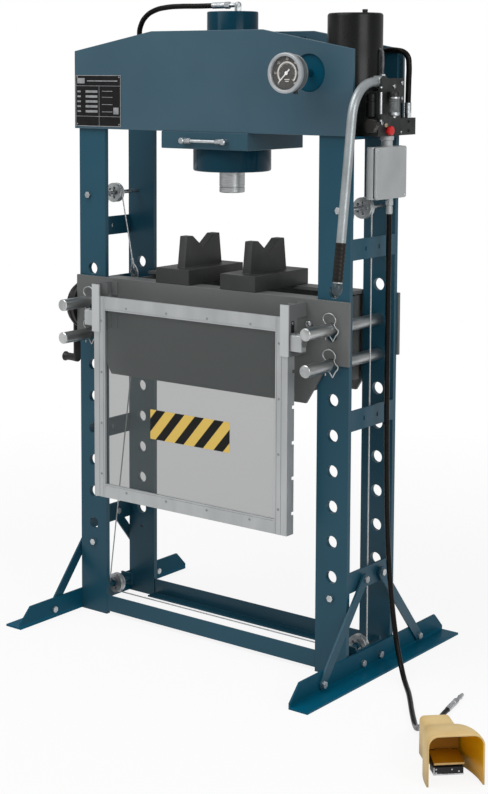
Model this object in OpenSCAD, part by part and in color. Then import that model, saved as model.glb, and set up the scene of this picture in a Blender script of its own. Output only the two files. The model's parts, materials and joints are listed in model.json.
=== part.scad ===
// Floor-standing H-frame hydraulic press with an air and hand pump, a winch-lifted table,
// a sliding guard and an air foot pedal. Millimetres, +Z up, front towards -Y,
// origin on the floor under the ram axis.

/* [Uprights] */
// Clear width between the left and right uprights
clear_w = 780; // [720:10:840]
// Clear depth between the front and rear uprights
clear_d = 216; // [206:2:240]
// Width of each flat-bar upright
upright_w = 104; // [96:1:116]
// Thickness of each flat-bar upright
upright_t = 15; // [12:1:20]
// Distance from the beam's lower edge down to the topmost table pin hole
hole_drop = 429; // [411:1:441]
// Spacing of the table pin holes
hole_pitch = 100; // [96:1:104]
// Number of table pin holes in an upright
hole_count = 9; // [5:1:9]
// Thickness of the side straps
strap_t = 5; // [4:1:6]
// Height of the side straps
strap_h = 58; // [50:1:70]

/* [Beam and cylinder] */
// Height of the beam's lower edge
beam_z = 1511; // [1500:1:1540]
// Thickness of a beam plate
beam_t = 10; // [8:1:14]
// Height of the beam plates at their ends
beam_side_h = 235; // [220:1:250]
// Height of the beam plates at the middle
beam_mid_h = 291; // [280:1:310]
// Width of the flat crown of the beam plates
beam_crown_w = 400; // [380:5:460]
// How far the beam plates pass the uprights
beam_over = 10; // [4:1:16]
// Thickness of the plates inside the beam
web_t = 10; // [8:1:14]
// Width of the cylinder carrier block
carrier_w = 314; // [300:2:340]
// Depth of the cylinder carrier block
carrier_d = 276; // [270:2:300]
// Height of the cylinder carrier block
carrier_h = 50; // [40:1:60]
// Diameter of the gland collar
collar_d = 230; // [210:2:240]
// Height of the gland collar
collar_h = 67; // [55:1:75]
// Outer diameter of the cylinder barrel
barrel_d = 150; // [144:1:156]
// Bore of the cylinder barrel
barrel_bore = 110; // [100:1:120]
// How far the barrel stands above the beam
barrel_rise = 56; // [40:1:80]
// Diameter of the ram
ram_d = 75; // [60:1:85]
// Length of the ram below the collar at rest
ram_show = 64; // [50:1:90]
// Working stroke of the ram
ram_stroke = 180; // [150:5:190]

/* [Gauge] */
// Diameter of the gauge bezel
gauge_d = 110; // [100:1:120]
// Distance from the beam's front face to the front of the bezel
gauge_reach = 117; // [105:1:130]
// Diameter of the hole in the beam behind the gauge
gauge_hole_d = 105; // [96:1:112]

/* [Pump] */
// Diameter of the oil tank
tank_d = 155; // [140:1:160]
// Height of the oil tank
tank_h = 200; // [180:1:220]
// Height of the pump body under the tank
pump_h = 135; // [130:1:145]
// Diameter of the lever tube
lever_d = 26; // [20:1:28]
// Bend radius of the lever tube
lever_bend_r = 105; // [95:1:115]
// Length of the lever's straight run
lever_run = 337; // [300:1:360]
// Length of the lever's grip
grip_l = 125; // [110:1:140]
// Height of the switch box
box_h = 143; // [130:1:150]

/* [Feet] */
// Length of the foot angles
foot_l = 800; // [700:10:900]
// Leg height of the foot angles
foot_h = 62; // [56:1:70]
// Leg thickness of the foot angles and the braces
foot_t = 6; // [5:1:8]
// Width of the foot's floor flange
foot_flange_w = 61; // [50:1:70]
// Width of the brace bars
brace_w = 30; // [26:1:36]

/* [Table] */
// Height from the lower pin holes to the table top
table_rise = 178; // [172:1:190]
// Thickness of a table plate
table_t = 10; // [8:1:12]
// Depth of the table's belly below the pin holes
belly_drop = 117; // [90:1:130]
// Width of the flat bottom of the belly
belly_w = 718; // [716:2:730]
// Depth of the table's top flanges
flange_d = 50; // [40:1:60]
// Free lift of the table off its lower pins
table_lift = 18; // [10:1:20]
// Diameter of the table pins
pin_d = 35; // [30:1:38]
// Length of a table pin in front of the table
pin_front = 128; // [110:1:150]
// Length of a vee block's base plate along X
vee_base_l = 125; // [110:1:140]
// Height of a vee block's base plate
vee_base_h = 46; // [36:1:56]
// Thickness of a vee plate
vee_t = 28; // [20:1:36]
// Height of a vee plate
vee_h = 92; // [80:1:110]
// Depth of the vee
vee_depth = 38; // [30:1:44]

/* [Guard] */
// Width of the guard frame
guard_w = 710; // [690:2:720]
// Height of the guard frame
guard_h = 612; // [560:2:640]
// Width of the guard's stiles and rails
guard_bar = 42; // [36:1:48]
// Thickness of the guard frame
guard_t = 8; // [6:1:10]
// Distance from the table plate to the guard frame
guard_off = 74.5; // [70:0.5:90]
// Thickness of the clear panel
panel_t = 3; // [2:0.5:4]

/* [Lift] */
// Diameter of the rope pulleys
pulley_d = 60; // [56:1:61]
// Width of the rope pulleys
pulley_w = 20; // [16:1:26]
// Diameter of the wire rope
rope_d = 4; // [3:0.5:5]
// Diameter of the winch gearbox
winch_d = 150; // [130:1:160]
// Radius of the winch crank
crank_r = 175; // [150:1:190]

/* [Foot pedal] */
// Width of the pedal hood's mouth
hood_w = 140; // [130:1:160]
// Width of the pedal hood's rear block
hood_rear_w = 78; // [74:1:90]
// Height of the pedal hood's mouth
hood_h = 120; // [110:1:130]
// Height of the pedal hood's rear block
hood_rear_h = 92; // [85:1:105]
// Length of the pedal hood
hood_l = 200; // [190:1:220]
// Wall thickness of the pedal hood
hood_wall = 4; // [3:0.5:5]
// Width of the treadle
treadle_w = 75; // [60:1:84]

/* [Clearances] */
// Radial clearance of running shafts
run_gap = 0.05; // [0.03:0.01:0.09]
// Radial clearance of pins and fixed fits
fit_gap = 0.3; // [0.2:0.05:0.4]
// Clearance between sliding flat faces
slide_gap = 0.5; // [0.4:0.1:0.9]

/* [Hidden] */
$fn = 48;

// Colours
paint = [0.16, 0.31, 0.37];
table_grey = [0.36, 0.37, 0.37];
charcoal = [0.2, 0.21, 0.2];
steel = [0.72, 0.73, 0.74];
alloy = [0.68, 0.7, 0.7];
black = [0.08, 0.08, 0.08];
box_grey = [0.63, 0.64, 0.65];
ochre = [0.8, 0.6, 0.1];

// Frame planes: inner and outer faces of the uprights
in_x = clear_w / 2;
out_x = in_x + upright_w;
hole_x = in_x + upright_w / 2;
top_hole_z = beam_z - hole_drop;
in_y = clear_d / 2;
out_y = in_y + upright_t;
shoulder_gap = 6;
upright_h = beam_z + beam_side_h - shoulder_gap;
right_strap_z = [1201, 727, 270];
left_strap_z = [1201, 557, 277];
strap_slot_y = [-43, 25];
strap_slot_w = 6;
strap_slot_h = 12;

// Bolts
bolt_d = 12;
bolt_head_d = 21;
bolt_head_h = 8;
bolt_hole_d = bolt_d + 2 * fit_gap;
low_bolt_z = 222;

// Beam
beam_x = out_x + beam_over;
beam_y = out_y + beam_t;
beam_top_z = beam_z + beam_mid_h;
web_x = barrel_d / 2 + 90;
web_z = beam_z + 10;
head_z = beam_top_z - 32;
head_t = 15;
shelf_t = 8;
shelf_x0 = in_x + 2;
shelf_x1 = out_x + 4;
shelf_top = beam_z - 1;

// Cylinder and ram
carrier_z = beam_z - carrier_h;
collar_z = carrier_z - collar_h;
ram_z = collar_z - ram_show;
barrel_top = beam_top_z + barrel_rise;
cap_t = 30;
nose_h = 17;
nose_groove = 1.5;
spigot_d = 30;
spigot_h = 20;
piston_h = 40;
piston_z = carrier_z + ram_stroke + 20;
pipe_y = 95;
pipe_d = 10;
boss_w = 26;

// Pressure hose
hose_d = 14;
hose_y = 98;
hose_z = beam_z + 169;
hose_hole_d = 24;
elbow_x = 19;
elbow_z = barrel_top + 19;
ferrule_x = -73;
ferrule_d = 17;
valve_fit_x = out_x + 36;
valve_fit_y = 108;
valve_top = beam_z + 46;
valve_fit_l = 40;
valve_fit_top = valve_top + valve_fit_l;
// Route in three parts: heights from the elbow, from the run behind the stiffeners and from the valve
hose_start = [
    [-73, 0, 0], [-130, 0, 0], [-190, 0, 1], [-250, 0, -1], [-295, 0, -9], [-328, 0, -25],
    [-349, 0, -50], [-358, 2, -82], [-356, 10, -115]];
hose_run = [
    [-345, 26, 52], [-322, 48, 28], [-290, 70, 12], [-252, 86, 3], [-205, 95, 0], [-100, hose_y, 0],
    [0, hose_y, 0], [100, hose_y, 0], [200, hose_y, 0], [280, hose_y, 2], [330, hose_y, 10],
    [375, hose_y, 26], [415, hose_y, 46], [450, hose_y, 60], [480, hose_y, 64]];
hose_end = [
    [500, 100, 146], [518, 103, 141], [529, 106, 128], [532, 107, 108], [531, 108, 60], [530, 108, 0]];
function raised(route, z) = [for (p = route) p + [0, 0, z]];
hose_route = concat(raised(hose_start, elbow_z), raised(hose_run, hose_z), raised(hose_end, valve_fit_top));

// Link pipe on the front of the carrier
link_x0 = -94;
link_x1 = 76;
link_z = carrier_z + 17;
link_off = 12;

// Gauge, from its front face towards the beam
gauge_x = out_x - 134;
gauge_z = beam_z + 170;
gauge_y = -(beam_y + gauge_reach);
bezel_l = 16;
bezel_lip_w = 10;
bezel_lip_l = 4;
gauge_glass_d = gauge_d - 12;
lens_t = 3;
dial_t = 2;
case_d = gauge_d - 10;
case_l = 30;
case_wall = 6;
stem_d = 22;
stem_in = 6;
needle_l = 36;
needle_tail = 14;
needle_t = 2;
arbor_d = 3;
arbor_l = 14;
dial_y = gauge_y + bezel_l;
needle_y = dial_y - dial_t - 4;

// Pump unit
pump_z = shelf_top;
tank_x = out_x - 64;
tank_y = -10;
tank_z = pump_z + pump_h;
tank_wall = 3;
pump_x0 = out_x - 94;
pump_x1 = out_x + 51;
pump_y0 = -70;
pump_y1 = 45;
step_x = out_x + 14;
step_h = 13;
step_z = tank_z - step_h;
valve_x0 = out_x + 12;
valve_x1 = out_x + 48;
valve_y1 = 130;
knob_x = out_x + 39;
knob_z = pump_z + 30;
knob_d = 36;
knob_l = 20;
knob_stem_d = 10;
knob_stem_l = 20;
knob_stem_in = 14;
button_y = -20;
button_z = pump_z + 15;
button_d = 26;
button_l = 10;
button_stem_d = 20;
button_travel = 4;
button_stem_l = 12;
filter_d = 31;
filter_y = -24;
filter_z = pump_z + 50;
filter_h = 71;
filter_head_h = 16;

// Lever, in the plane X = lever_x
lever_x = out_x + 36;
pivot_y = -45;
pivot_z = tank_z + 12;
pivot_pin_d = 12;
lever_boss_d = 34;
lever_boss_w = lever_d + 2;
ear_t = 5;
ear_w = 34;
ear_x = lever_boss_w / 2 + slide_gap;
cheek_y0 = pivot_y - 17;
cheek_y1 = 53;
cheek_z0 = step_z - 32;
cheek_z1 = pivot_z + 10;
cheek_x = lever_x + ear_x + ear_t;
lever_lead = 28;
lever_turn = 82;
lever_grip_d = 32;
grip_socket = 100;
lever_bend_y = pivot_y - lever_lead;
lever_bend_z = pivot_z - lever_bend_r;
run_y = lever_bend_y - lever_bend_r * sin(lever_turn);
run_z = lever_bend_z + lever_bend_r * cos(lever_turn);
run_tilt = lever_turn - 90;

// Switch box under the pump shelf
box_x0 = out_x + 18;
box_x1 = out_x + 54;
box_y0 = -80;
box_y1 = 76;
neck_d = 38;
neck_h = 29;
box_top = pump_z - neck_h;
gland_x = 535;
gland_y = 8;
gland_d = 22;
gland_l = 43;
gland_z = box_top - box_h - gland_l;

// Feet, braces and floor ties
foot_chamfer = 45;
foot_bolt_z = 27;
foot_bolt_y = [46, 252];
brace_top_y = 44;
brace_end = brace_w / 2 - 1;
brace_cut = 0.3 * brace_w;
brace_spacer_d = 24;
tie_leg = 50;
tie_t = 5;
tie_front_z = 11;
tie_rear_z = 5;
tie_front_reach = 40;
tie_rear_inset = 8;

// Table
table_y0 = out_y + slide_gap;
table_y1 = table_y0 + table_t;
lower_pin_z = top_hole_z - 2 * hole_pitch;
upper_pin_z = top_hole_z - hole_pitch;
table_top = lower_pin_z + table_rise;
table_x = out_x + 5;
belly_z = lower_pin_z - belly_drop;
belly_x = belly_w / 2;
belly_end_x = hole_x - 12;
hole_d = pin_d + 2 * fit_gap;
flange_x = in_x - 5;
flange_t = 10;
spacer_t = 8;
spacer_x = in_x - 24;
spacer_z0 = belly_z + 35;
spacer_z1 = table_top - flange_t - 5;
lug_w = 10;
eye_x = in_x - 9;
eye_r = 9;
eye_wire = 5;
eye_z = table_top + 2;
low_eye_z = belly_z + 83;
lug_h = 46;
pin_back = 26;
clip_wire = 4;
clip_r = 15;
clip_y = -(table_y1 + 9);
clip_ring_z = pin_d / 2 + clip_r + 4;
vee_x = 120;
vee_len = 181;
vee_top_len = 157;
vee_half = 51;

// Guard and its guides
guard_back = -(table_y1 + guard_off);
guard_front = guard_back - guard_t;
guard_x = guard_w / 2;
guard_top = table_top - 45;
guard_z = guard_top - guard_h;
rack_t = 4;
rack_d = 25;
rack_notch = 10;
rack_pitch = 100;
rack_count = 5;
rack_first_z = guard_top - 153;
rack_len = guard_h - 100;
panel_lap = 24;
guide_t = 4;
guide_lip = 28;
guide_z0 = guard_top - 108;
guide_z1 = guard_top + 35;
guide_in = guard_x + slide_gap;
guide_out = guide_in + guide_t;
guide_front = guard_front - slide_gap;
guide_back = guard_back + rack_d + slide_gap;
arm_h = [[guide_z0, 48], [guide_z1 - 40, 40]];
clamp_l = 18;
clamp_h = 50;
clamp_d = 24;
clamp_up = 40;
clamp_knob_d = 24;
clamp_knob_l = 22;

// Rope lift
axle_d = 12;
axle_collar_d = 20;
axle_collar_l = 6;
pulley_x = hole_x + 15;
pulley_bore = axle_d + 2 * run_gap;
top_axle_z = beam_z - 203;
low_axle_z = 58;
rope_r = pulley_d / 2 - rope_d / 2 - 1;
groove_r = rope_r - rope_d / 2 - fit_gap;
groove_half = rope_d / 2 + 1;
groove_rim = groove_half + 2.5;
pulley_window_d = 9;
pulley_window_r = 15;
bracket_t = 6;
bracket_y = 66;
bracket_back_z = [5, 65];
bracket_cheek_z = [36, 74];
bracket_x0 = pulley_x - 14;

// Winch on the left uprights
winch_y = -75;
winch_z = 960;
winch_plate_t = 6;
winch_plate_z = [winch_z - 80, winch_z + 80];
winch_plate_y = out_y - 2;
winch_x = -(out_x + winch_plate_t);
winch_l = 42;
winch_wall = 5;
drum_shaft_d = 16;
drum_flange_r = 30;
drum_flange_t = 3;
drum_x1 = -(out_x - 30);
drum_x0 = -(out_x - 8);
drum_gear_r = 45;
drum_gear_t = 10;
crank_shaft_d = 14;
crank_arm_t = 8;
crank_arm_w = 26;
crank_grip_d = 26;
crank_grip_l = 49;
crank_x = winch_x - winch_l - 6;

// Foot pedal, placed on the floor in front of the press
pedal_pos = [1073, -536, 0];
pedal_turn = 45;
hood_mouth_l = 50;
hood_taper_l = 75;
hood_corner = 28;
hood_rear_corner = 12;
hood_inner_l = hood_l - hood_wall;
base_w = 60;
base_t = 6;
base_y0 = 99;
valve_w = 52;
valve_h = 70;
valve_y0 = 138;
hinge_y = 120;
hinge_z = 45;
hinge_d = 8;
hinge_boss_d = 16;
hinge_boss_w = 46;
treadle_l = 62;
treadle_pad_end = 12;
treadle_t = 5;
treadle_slope = 14.5;
front_w = 73;
front_y = [63, 100];
front_z = [19.5, 31];
barb_x = 20;
barb_z = 50;
barb_d = 12;
barb_end = 206;

// Pedal hose and tail hose, on the floor
pedal_hose_d = 15;
pedal_low_z = 790;
pedal_drop = [for (k = [0 : 5]) [gland_x, gland_y, gland_z + (pedal_low_z - gland_z) * k / 6]];
pedal_floor = [
    [gland_x, gland_y, pedal_low_z], [536, 8, 700], [537, 8, 610], [539, 8, 520], [542, 8, 430],
    [547, 8, 340], [554, 8, 260], [563, 7, 185], [575, 4, 120], [590, -4, 70], [609, -18, 35],
    [632, -42, 15], [660, -75, 8], [692, -116, 8], [726, -164, 8], [760, -214, 8],
    [794, -262, 8], [826, -305, 10], [854, -343, 24], [876, -366, 40], [895, -386, 48.5],
    [905, -396, 50], [913, -404, 50]];
pedal_route = concat(pedal_drop, pedal_floor);
tail_hose_d = 13;
tail_route = [
    [941.6, -375.4, 50], [933.6, -367.4, 50], [925, -359, 49.2], [908, -340, 45], [892, -318, 38],
    [877, -294, 29], [864, -267, 20], [853, -238, 13], [844, -208, 9], [837, -178, 8], [832, -150, 8]];
nipple_l = 118;
nipple_d = 15;

// Box between two corners
module block(x0, x1, y0, y1, z0, z1) {
    translate([x0, y0, z0]) cube([x1 - x0, y1 - y0, z1 - z0]);
}

// Round bar along Y
module bar_y(x, z, y0, y1, d) {
    translate([x, y1, z]) rotate([90, 0, 0]) cylinder(h = y1 - y0, d = d);
}

// Round bar along X
module bar_x(y, z, x0, x1, d) {
    translate([x0, y, z]) rotate([0, 90, 0]) cylinder(h = x1 - x0, d = d);
}

// Outline in X and Z, extruded along Y
module plate_y(outline, y0, y1) {
    translate([0, y1, 0]) rotate([90, 0, 0]) linear_extrude(y1 - y0) polygon(outline);
}

// Outline in Y and Z, extruded along X
module plate_x(outline, x0, x1) {
    translate([x0, 0, 0]) rotate([90, 0, 90]) linear_extrude(x1 - x0) polygon(outline);
}

// Hexagon bolt head along X, growing away from the frame on either side
module hex_x(side, x, y, z, h) {
    translate([side * x, y, z]) rotate([0, side * 90, 0]) cylinder(h = h, d = bolt_head_d, $fn = 6);
}

// Copies on the right side and, mirrored, on the left side
module both_sides() {
    children();
    mirror([1, 0, 0]) children();
}

function unit(v) = v / norm(v);
function catmull(a, b, c, d, t) = 0.5 * (2 * b + (c - a) * t + (2 * a - 5 * b + 4 * c - d) * t * t
    + (3 * b - a - 3 * c + d) * t * t * t);
// Route with one point added halfway along each span
function smooth_route(p) = [for (i = [0 : len(p) - 2]) each [p[i],
    catmull(p[max(i - 1, 0)], p[i], p[i + 1], p[min(i + 2, len(p) - 1)], 0.5)], p[len(p) - 1]];
function heading(p, i) = unit(p[min(i + 1, len(p) - 1)] - p[max(i - 1, 0)]);
function ring(centre, along, r, sides, across) = let (u = unit(cross(along, across)), v = cross(along, u))
    [for (k = [0 : sides - 1]) centre + r * (cos(360 * k / sides) * u + sin(360 * k / sides) * v)];

// Round tube swept along a route; across is a direction that the route never takes
module tube(route, d, across, sides = 10) {
    count = len(route);
    points = [for (i = [0 : count - 1]) each ring(route[i], heading(route, i), d / 2, sides, across)];
    walls = [for (i = [0 : count - 2], k = [0 : sides - 1])
        let (n = (k + 1) % sides)
        [i * sides + k, (i + 1) * sides + k, (i + 1) * sides + n, i * sides + n]];
    start = [for (k = [0 : sides - 1]) k];
    end = [for (k = [sides - 1 : -1 : 0]) (count - 1) * sides + k];
    polyhedron(points = points, faces = concat([start, end], walls), convexity = 6);
}

// Frame

module upright_pair(side) {
    x0 = side > 0 ? in_x : -out_x;
    color(paint)
    for (y0 = [-out_y, in_y])
        difference() {
            block(x0, x0 + upright_w, y0, y0 + upright_t, 0, upright_h);
            for (k = [0 : hole_count - 1])
                bar_y(side * hole_x, top_hole_z - k * hole_pitch, y0 - 1, y0 + upright_t + 1, hole_d);
            bar_y(side * pulley_x, top_axle_z, y0 - 1, y0 + upright_t + 1, bolt_hole_d);
            bar_y(side * hole_x, low_bolt_z, y0 - 1, y0 + upright_t + 1, bolt_hole_d);
        }
}

module left_uprights() { upright_pair(-1); }

module right_uprights() { upright_pair(1); }

module beam_plate(y0) {
    side_z = beam_z + beam_side_h;
    crown_x = beam_crown_w / 2;
    plate_y([[-beam_x, beam_z], [beam_x, beam_z], [beam_x, side_z], [crown_x, beam_top_z],
        [-crown_x, beam_top_z], [-beam_x, side_z]], y0, y0 + beam_t);
}

module beam_front_plate() {
    color(paint)
    difference() {
        beam_plate(-beam_y);
        bar_y(gauge_x, gauge_z, -beam_y - 1, -out_y + 1, gauge_hole_d);
    }
}

module beam_rear_plate() { color(paint) beam_plate(out_y); }

// Two upright stiffeners and the head plate inside the beam, and the shelf that carries the pump
module beam_webs() {
    color(paint) {
        difference() {
            both_sides() block(web_x, web_x + web_t, -out_y, out_y, web_z, head_z + head_t);
            bar_x(hose_y, hose_z, -web_x - web_t - 1, web_x + web_t + 1, hose_hole_d);
            bar_x(-pipe_y, gauge_z, web_x - 1, web_x + web_t + 1, pipe_d + 6);
        }
        difference() {
            block(-web_x, web_x, -out_y, out_y, head_z, head_z + head_t);
            translate([0, 0, head_z - 1]) cylinder(h = head_t + 2, d = barrel_d + 2 * fit_gap);
        }
        block(shelf_x0, shelf_x1, -in_y, in_y, shelf_top - shelf_t, shelf_top);
    }
}

module cylinder_carrier() {
    color(paint)
    difference() {
        block(-carrier_w / 2, carrier_w / 2, -carrier_d / 2, carrier_d / 2, carrier_z, beam_z);
        translate([0, 0, carrier_z - 1]) cylinder(h = carrier_h + 2, d = barrel_d + 2 * fit_gap);
    }
}

module strap(side, z, slotted) {
    difference() {
        block(side > 0 ? out_x - strap_t : -out_x, side > 0 ? out_x : strap_t - out_x,
            -in_y, in_y, z - strap_h / 2, z + strap_h / 2);
        if (slotted)
            for (y = strap_slot_y)
                block(-out_x - 1, out_x + 1, y - strap_slot_w / 2, y + strap_slot_w / 2,
                    z - strap_slot_h / 2, z + strap_slot_h / 2);
        else
            for (y = [-brace_top_y, brace_top_y])
                bar_x(y, z, -out_x - 1, out_x + 1, bolt_hole_d);
    }
}

module side_straps() {
    color(paint) {
        for (i = [0 : 2]) {
            strap(1, right_strap_z[i], i < 2);
            strap(-1, left_strap_z[i], i < 2);
        }
        difference() {
            block(winch_x, -out_x, -winch_plate_y, winch_plate_y, winch_plate_z[0], winch_plate_z[1]);
            bar_x(winch_y, winch_z, winch_x - 1, -out_x + 1, drum_shaft_d + 2 * run_gap);
        }
    }
}

module foot(side) {
    half = foot_l / 2;
    low = foot_h - foot_chamfer;
    color(paint)
    mirror([side > 0 ? 0 : 1, 0, 0])
        difference() {
            union() {
                plate_x([[-half, 0], [half, 0], [half, low], [half - foot_chamfer, foot_h],
                    [foot_chamfer - half, foot_h], [-half, low]], out_x, out_x + foot_t);
                block(out_x, out_x + foot_flange_w, -half, half, 0, foot_t);
            }
            for (y = foot_bolt_y, s = [-1, 1])
                bar_x(s * y, foot_bolt_z, out_x - 1, out_x + foot_t + 1, bolt_hole_d);
        }
}

module left_foot() { foot(-1); }

module right_foot() { foot(1); }

// Flat bar with cut corners from a low strap down to the foot, with its spacer at the top
module brace(side, top_z) {
    x0 = out_x + foot_t;
    run = [foot_bolt_y[1] - brace_top_y, foot_bolt_z - top_z];
    far = norm(run) + brace_end;
    half = brace_w / 2;
    inner = half - brace_cut;
    mirror([side > 0 ? 0 : 1, 0, 0])
        for (s = [0, 1]) mirror([0, s, 0])
            difference() {
                union() {
                    translate([0, brace_top_y, top_z]) rotate([atan2(run[1], run[0]), 0, 0])
                        plate_x([[-brace_end, -inner], [brace_cut - brace_end, -half],
                            [far - brace_cut, -half], [far, -inner], [far, inner],
                            [far - brace_cut, half], [brace_cut - brace_end, half],
                            [-brace_end, inner]], x0, x0 + foot_t);
                    bar_x(brace_top_y, top_z, out_x, x0 + 1, brace_spacer_d);
                }
                bar_x(brace_top_y, top_z, out_x - 1, x0 + foot_t + 1, bolt_hole_d);
                bar_x(foot_bolt_y[1], foot_bolt_z, x0 - 1, x0 + foot_t + 1, bolt_hole_d);
            }
}

module foot_braces() {
    color(paint) {
        brace(1, right_strap_z[2]);
        brace(-1, left_strap_z[2]);
    }
}

module tie_angles() {
    color(paint) {
        block(-in_x, in_x, -out_y, tie_t - out_y, tie_front_z, tie_front_z + tie_leg);
        block(-in_x, in_x, tie_t - out_y, tie_front_reach - out_y, tie_front_z, tie_front_z + tie_t);
        translate([0, out_y - tie_rear_inset, 0]) {
            block(-in_x, in_x, -tie_t, 0, tie_rear_z, tie_rear_z + tie_leg);
            block(-in_x, in_x, -tie_front_reach, -tie_t, tie_rear_z, tie_rear_z + tie_t);
        }
    }
}

// Bolt along X whose head lies outside and whose nut lies inside the named faces
module side_bolt(side, y, z, head_face, nut_face) {
    hex_x(side, head_face, y, z, bolt_head_h);
    hex_x(-side, -nut_face, y, z, bolt_head_h);
    mirror([side > 0 ? 0 : 1, 0, 0]) bar_x(y, z, nut_face - 1, head_face + 1, bolt_d);
}

module front_bolt(x, z) {
    translate([x, -out_y, z]) rotate([90, 0, 0]) cylinder(h = bolt_head_h, d = bolt_head_d, $fn = 6);
    translate([x, -in_y, z]) rotate([-90, 0, 0]) cylinder(h = bolt_head_h, d = bolt_head_d, $fn = 6);
    bar_y(x, z, -out_y - 1, 1 - in_y, bolt_d);
}

module frame_bolts() {
    brace_face = out_x + 2 * foot_t;
    color(steel)
    for (side = [-1, 1]) {
        low_strap = side > 0 ? right_strap_z[2] : left_strap_z[2];
        for (s = [-1, 1]) {
            side_bolt(side, s * brace_top_y, low_strap, brace_face, out_x - strap_t);
            side_bolt(side, s * foot_bolt_y[1], foot_bolt_z, brace_face, out_x);
            side_bolt(side, s * foot_bolt_y[0], foot_bolt_z, out_x + foot_t, out_x - bracket_t);
        }
        front_bolt(side * hole_x, low_bolt_z);
        // Top pulley axle with its end heads and two collars
        for (s = [-1, 1]) {
            translate([side * pulley_x, s * out_y, top_axle_z]) rotate([-s * 90, 0, 0])
                cylinder(h = bolt_head_h, d = bolt_head_d, $fn = 6);
            collar_y = s * (pulley_w / 2 + slide_gap + axle_collar_l / 2);
            bar_y(side * pulley_x, top_axle_z, collar_y - axle_collar_l / 2,
                collar_y + axle_collar_l / 2, axle_collar_d);
        }
        bar_y(side * pulley_x, top_axle_z, -out_y - 1, out_y + 1, axle_d);
    }
}

// Cylinder and ram

module cylinder_barrel() {
    color(black)
    difference() {
        union() {
            translate([0, 0, carrier_z]) cylinder(h = barrel_top - carrier_z, d = barrel_d);
            block(-boss_w / 2, boss_w / 2, -pipe_y - boss_w / 2, -barrel_d / 2 + 6,
                gauge_z - boss_w / 2, gauge_z + boss_w / 2);
        }
        translate([0, 0, carrier_z - 1]) cylinder(h = barrel_top - cap_t - carrier_z + 1, d = barrel_bore);
    }
}

module cylinder_collar() {
    color(paint)
    difference() {
        translate([0, 0, collar_z]) cylinder(h = collar_h, d = collar_d);
        translate([0, 0, collar_z - 1]) cylinder(h = collar_h + 2, d = ram_d + 2 * run_gap);
    }
}

module ram_rod() {
    rod_z = ram_z + nose_h;
    color(steel)
    difference() {
        union() {
            translate([0, 0, rod_z]) cylinder(h = piston_z - rod_z, d = ram_d);
            translate([0, 0, piston_z]) cylinder(h = piston_h, d = barrel_bore - 2 * run_gap);
        }
        translate([0, 0, rod_z - 1]) cylinder(h = spigot_h + 2, d = spigot_d + 2 * fit_gap);
    }
}

// Pressing pad with a turned groove under the rod and a spigot into it
module ram_nose() {
    color(steel) {
        translate([0, 0, ram_z]) cylinder(h = nose_h - nose_groove, d = ram_d);
        translate([0, 0, ram_z + nose_h - nose_groove - 0.5])
            cylinder(h = nose_groove + 0.5, d = ram_d - 4);
        translate([0, 0, ram_z + nose_h - 0.5]) cylinder(h = spigot_h, d = spigot_d);
    }
}

module pressure_hose() { color(black) tube(smooth_route(hose_route), hose_d, [0.3, 1, -0.2]); }

// Steel end fittings of the pressure hose, the link pipe on the carrier and the gauge pipe
module hose_fittings() {
    link_y = -carrier_d / 2 - link_off;
    color(steel) {
        translate([elbow_x, 0, barrel_top]) cylinder(h = elbow_z - barrel_top, d = ferrule_d);
        translate([elbow_x, 0, elbow_z]) sphere(d = ferrule_d + 2);
        bar_x(0, elbow_z, ferrule_x, elbow_x, ferrule_d);
        translate([valve_fit_x, valve_fit_y, valve_top])
            cylinder(h = valve_fit_top - valve_top, d = ferrule_d);
        bar_x(link_y, link_z, link_x0, link_x1, pipe_d);
        for (x = [link_x0, link_x1]) {
            translate([x, link_y, link_z]) sphere(d = pipe_d + 4);
            bar_y(x, link_z, link_y, -carrier_d / 2, pipe_d + 3);
        }
        bar_y(gauge_x, gauge_z, stem_in - out_y, -pipe_y, pipe_d);
        translate([gauge_x, -pipe_y, gauge_z]) sphere(d = pipe_d);
        bar_x(-pipe_y, gauge_z, boss_w / 2, gauge_x, pipe_d);
    }
}

// Gauge

// Cup with its rear stem, screwed onto the gauge pipe inside the beam
module gauge_case() {
    color(black)
    difference() {
        union() {
            bar_y(gauge_x, gauge_z, dial_y, dial_y + case_l, case_d);
            bar_y(gauge_x, gauge_z, dial_y + case_l - 1, stem_in - out_y, stem_d);
        }
        bar_y(gauge_x, gauge_z, dial_y - 1, dial_y + case_l - case_wall, case_d - 2 * case_wall);
    }
}

module gauge_bezel() {
    color(steel)
    difference() {
        bar_y(gauge_x, gauge_z, gauge_y, dial_y, gauge_d);
        bar_y(gauge_x, gauge_z, gauge_y - 1, dial_y + 1, gauge_d - 2 * bezel_lip_w);
        bar_y(gauge_x, gauge_z, gauge_y + bezel_lip_l, dial_y + 1, gauge_glass_d);
    }
}

module gauge_dial() {
    color(charcoal)
    difference() {
        bar_y(gauge_x, gauge_z, dial_y - dial_t, dial_y, gauge_glass_d - 2 * fit_gap);
        bar_y(gauge_x, gauge_z, dial_y - dial_t - 1, dial_y + 1, arbor_d + 2 * run_gap);
    }
}

// Pointer at zero, towards the lower left, on its arbor
module gauge_needle() {
    hub_r = 5;
    color("white") {
        bar_y(gauge_x, gauge_z, needle_y, needle_y + needle_t, 2 * hub_r);
        bar_y(gauge_x, gauge_z, needle_y, needle_y + arbor_l, arbor_d);
        plate_y([for (p = [[-needle_tail, -2], [needle_l, -0.8], [needle_l, 0.8], [-needle_tail, 2]])
            [gauge_x + (p[1] - p[0]) * cos(45), gauge_z - (p[0] + p[1]) * sin(45)]],
            needle_y, needle_y + needle_t);
    }
}

module gauge_lens() {
    color([0.8, 0.85, 0.85, 0.4])
    bar_y(gauge_x, gauge_z, gauge_y + bezel_lip_l, gauge_y + bezel_lip_l + lens_t,
        gauge_glass_d - 2 * fit_gap);
}

// Pump unit

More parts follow.
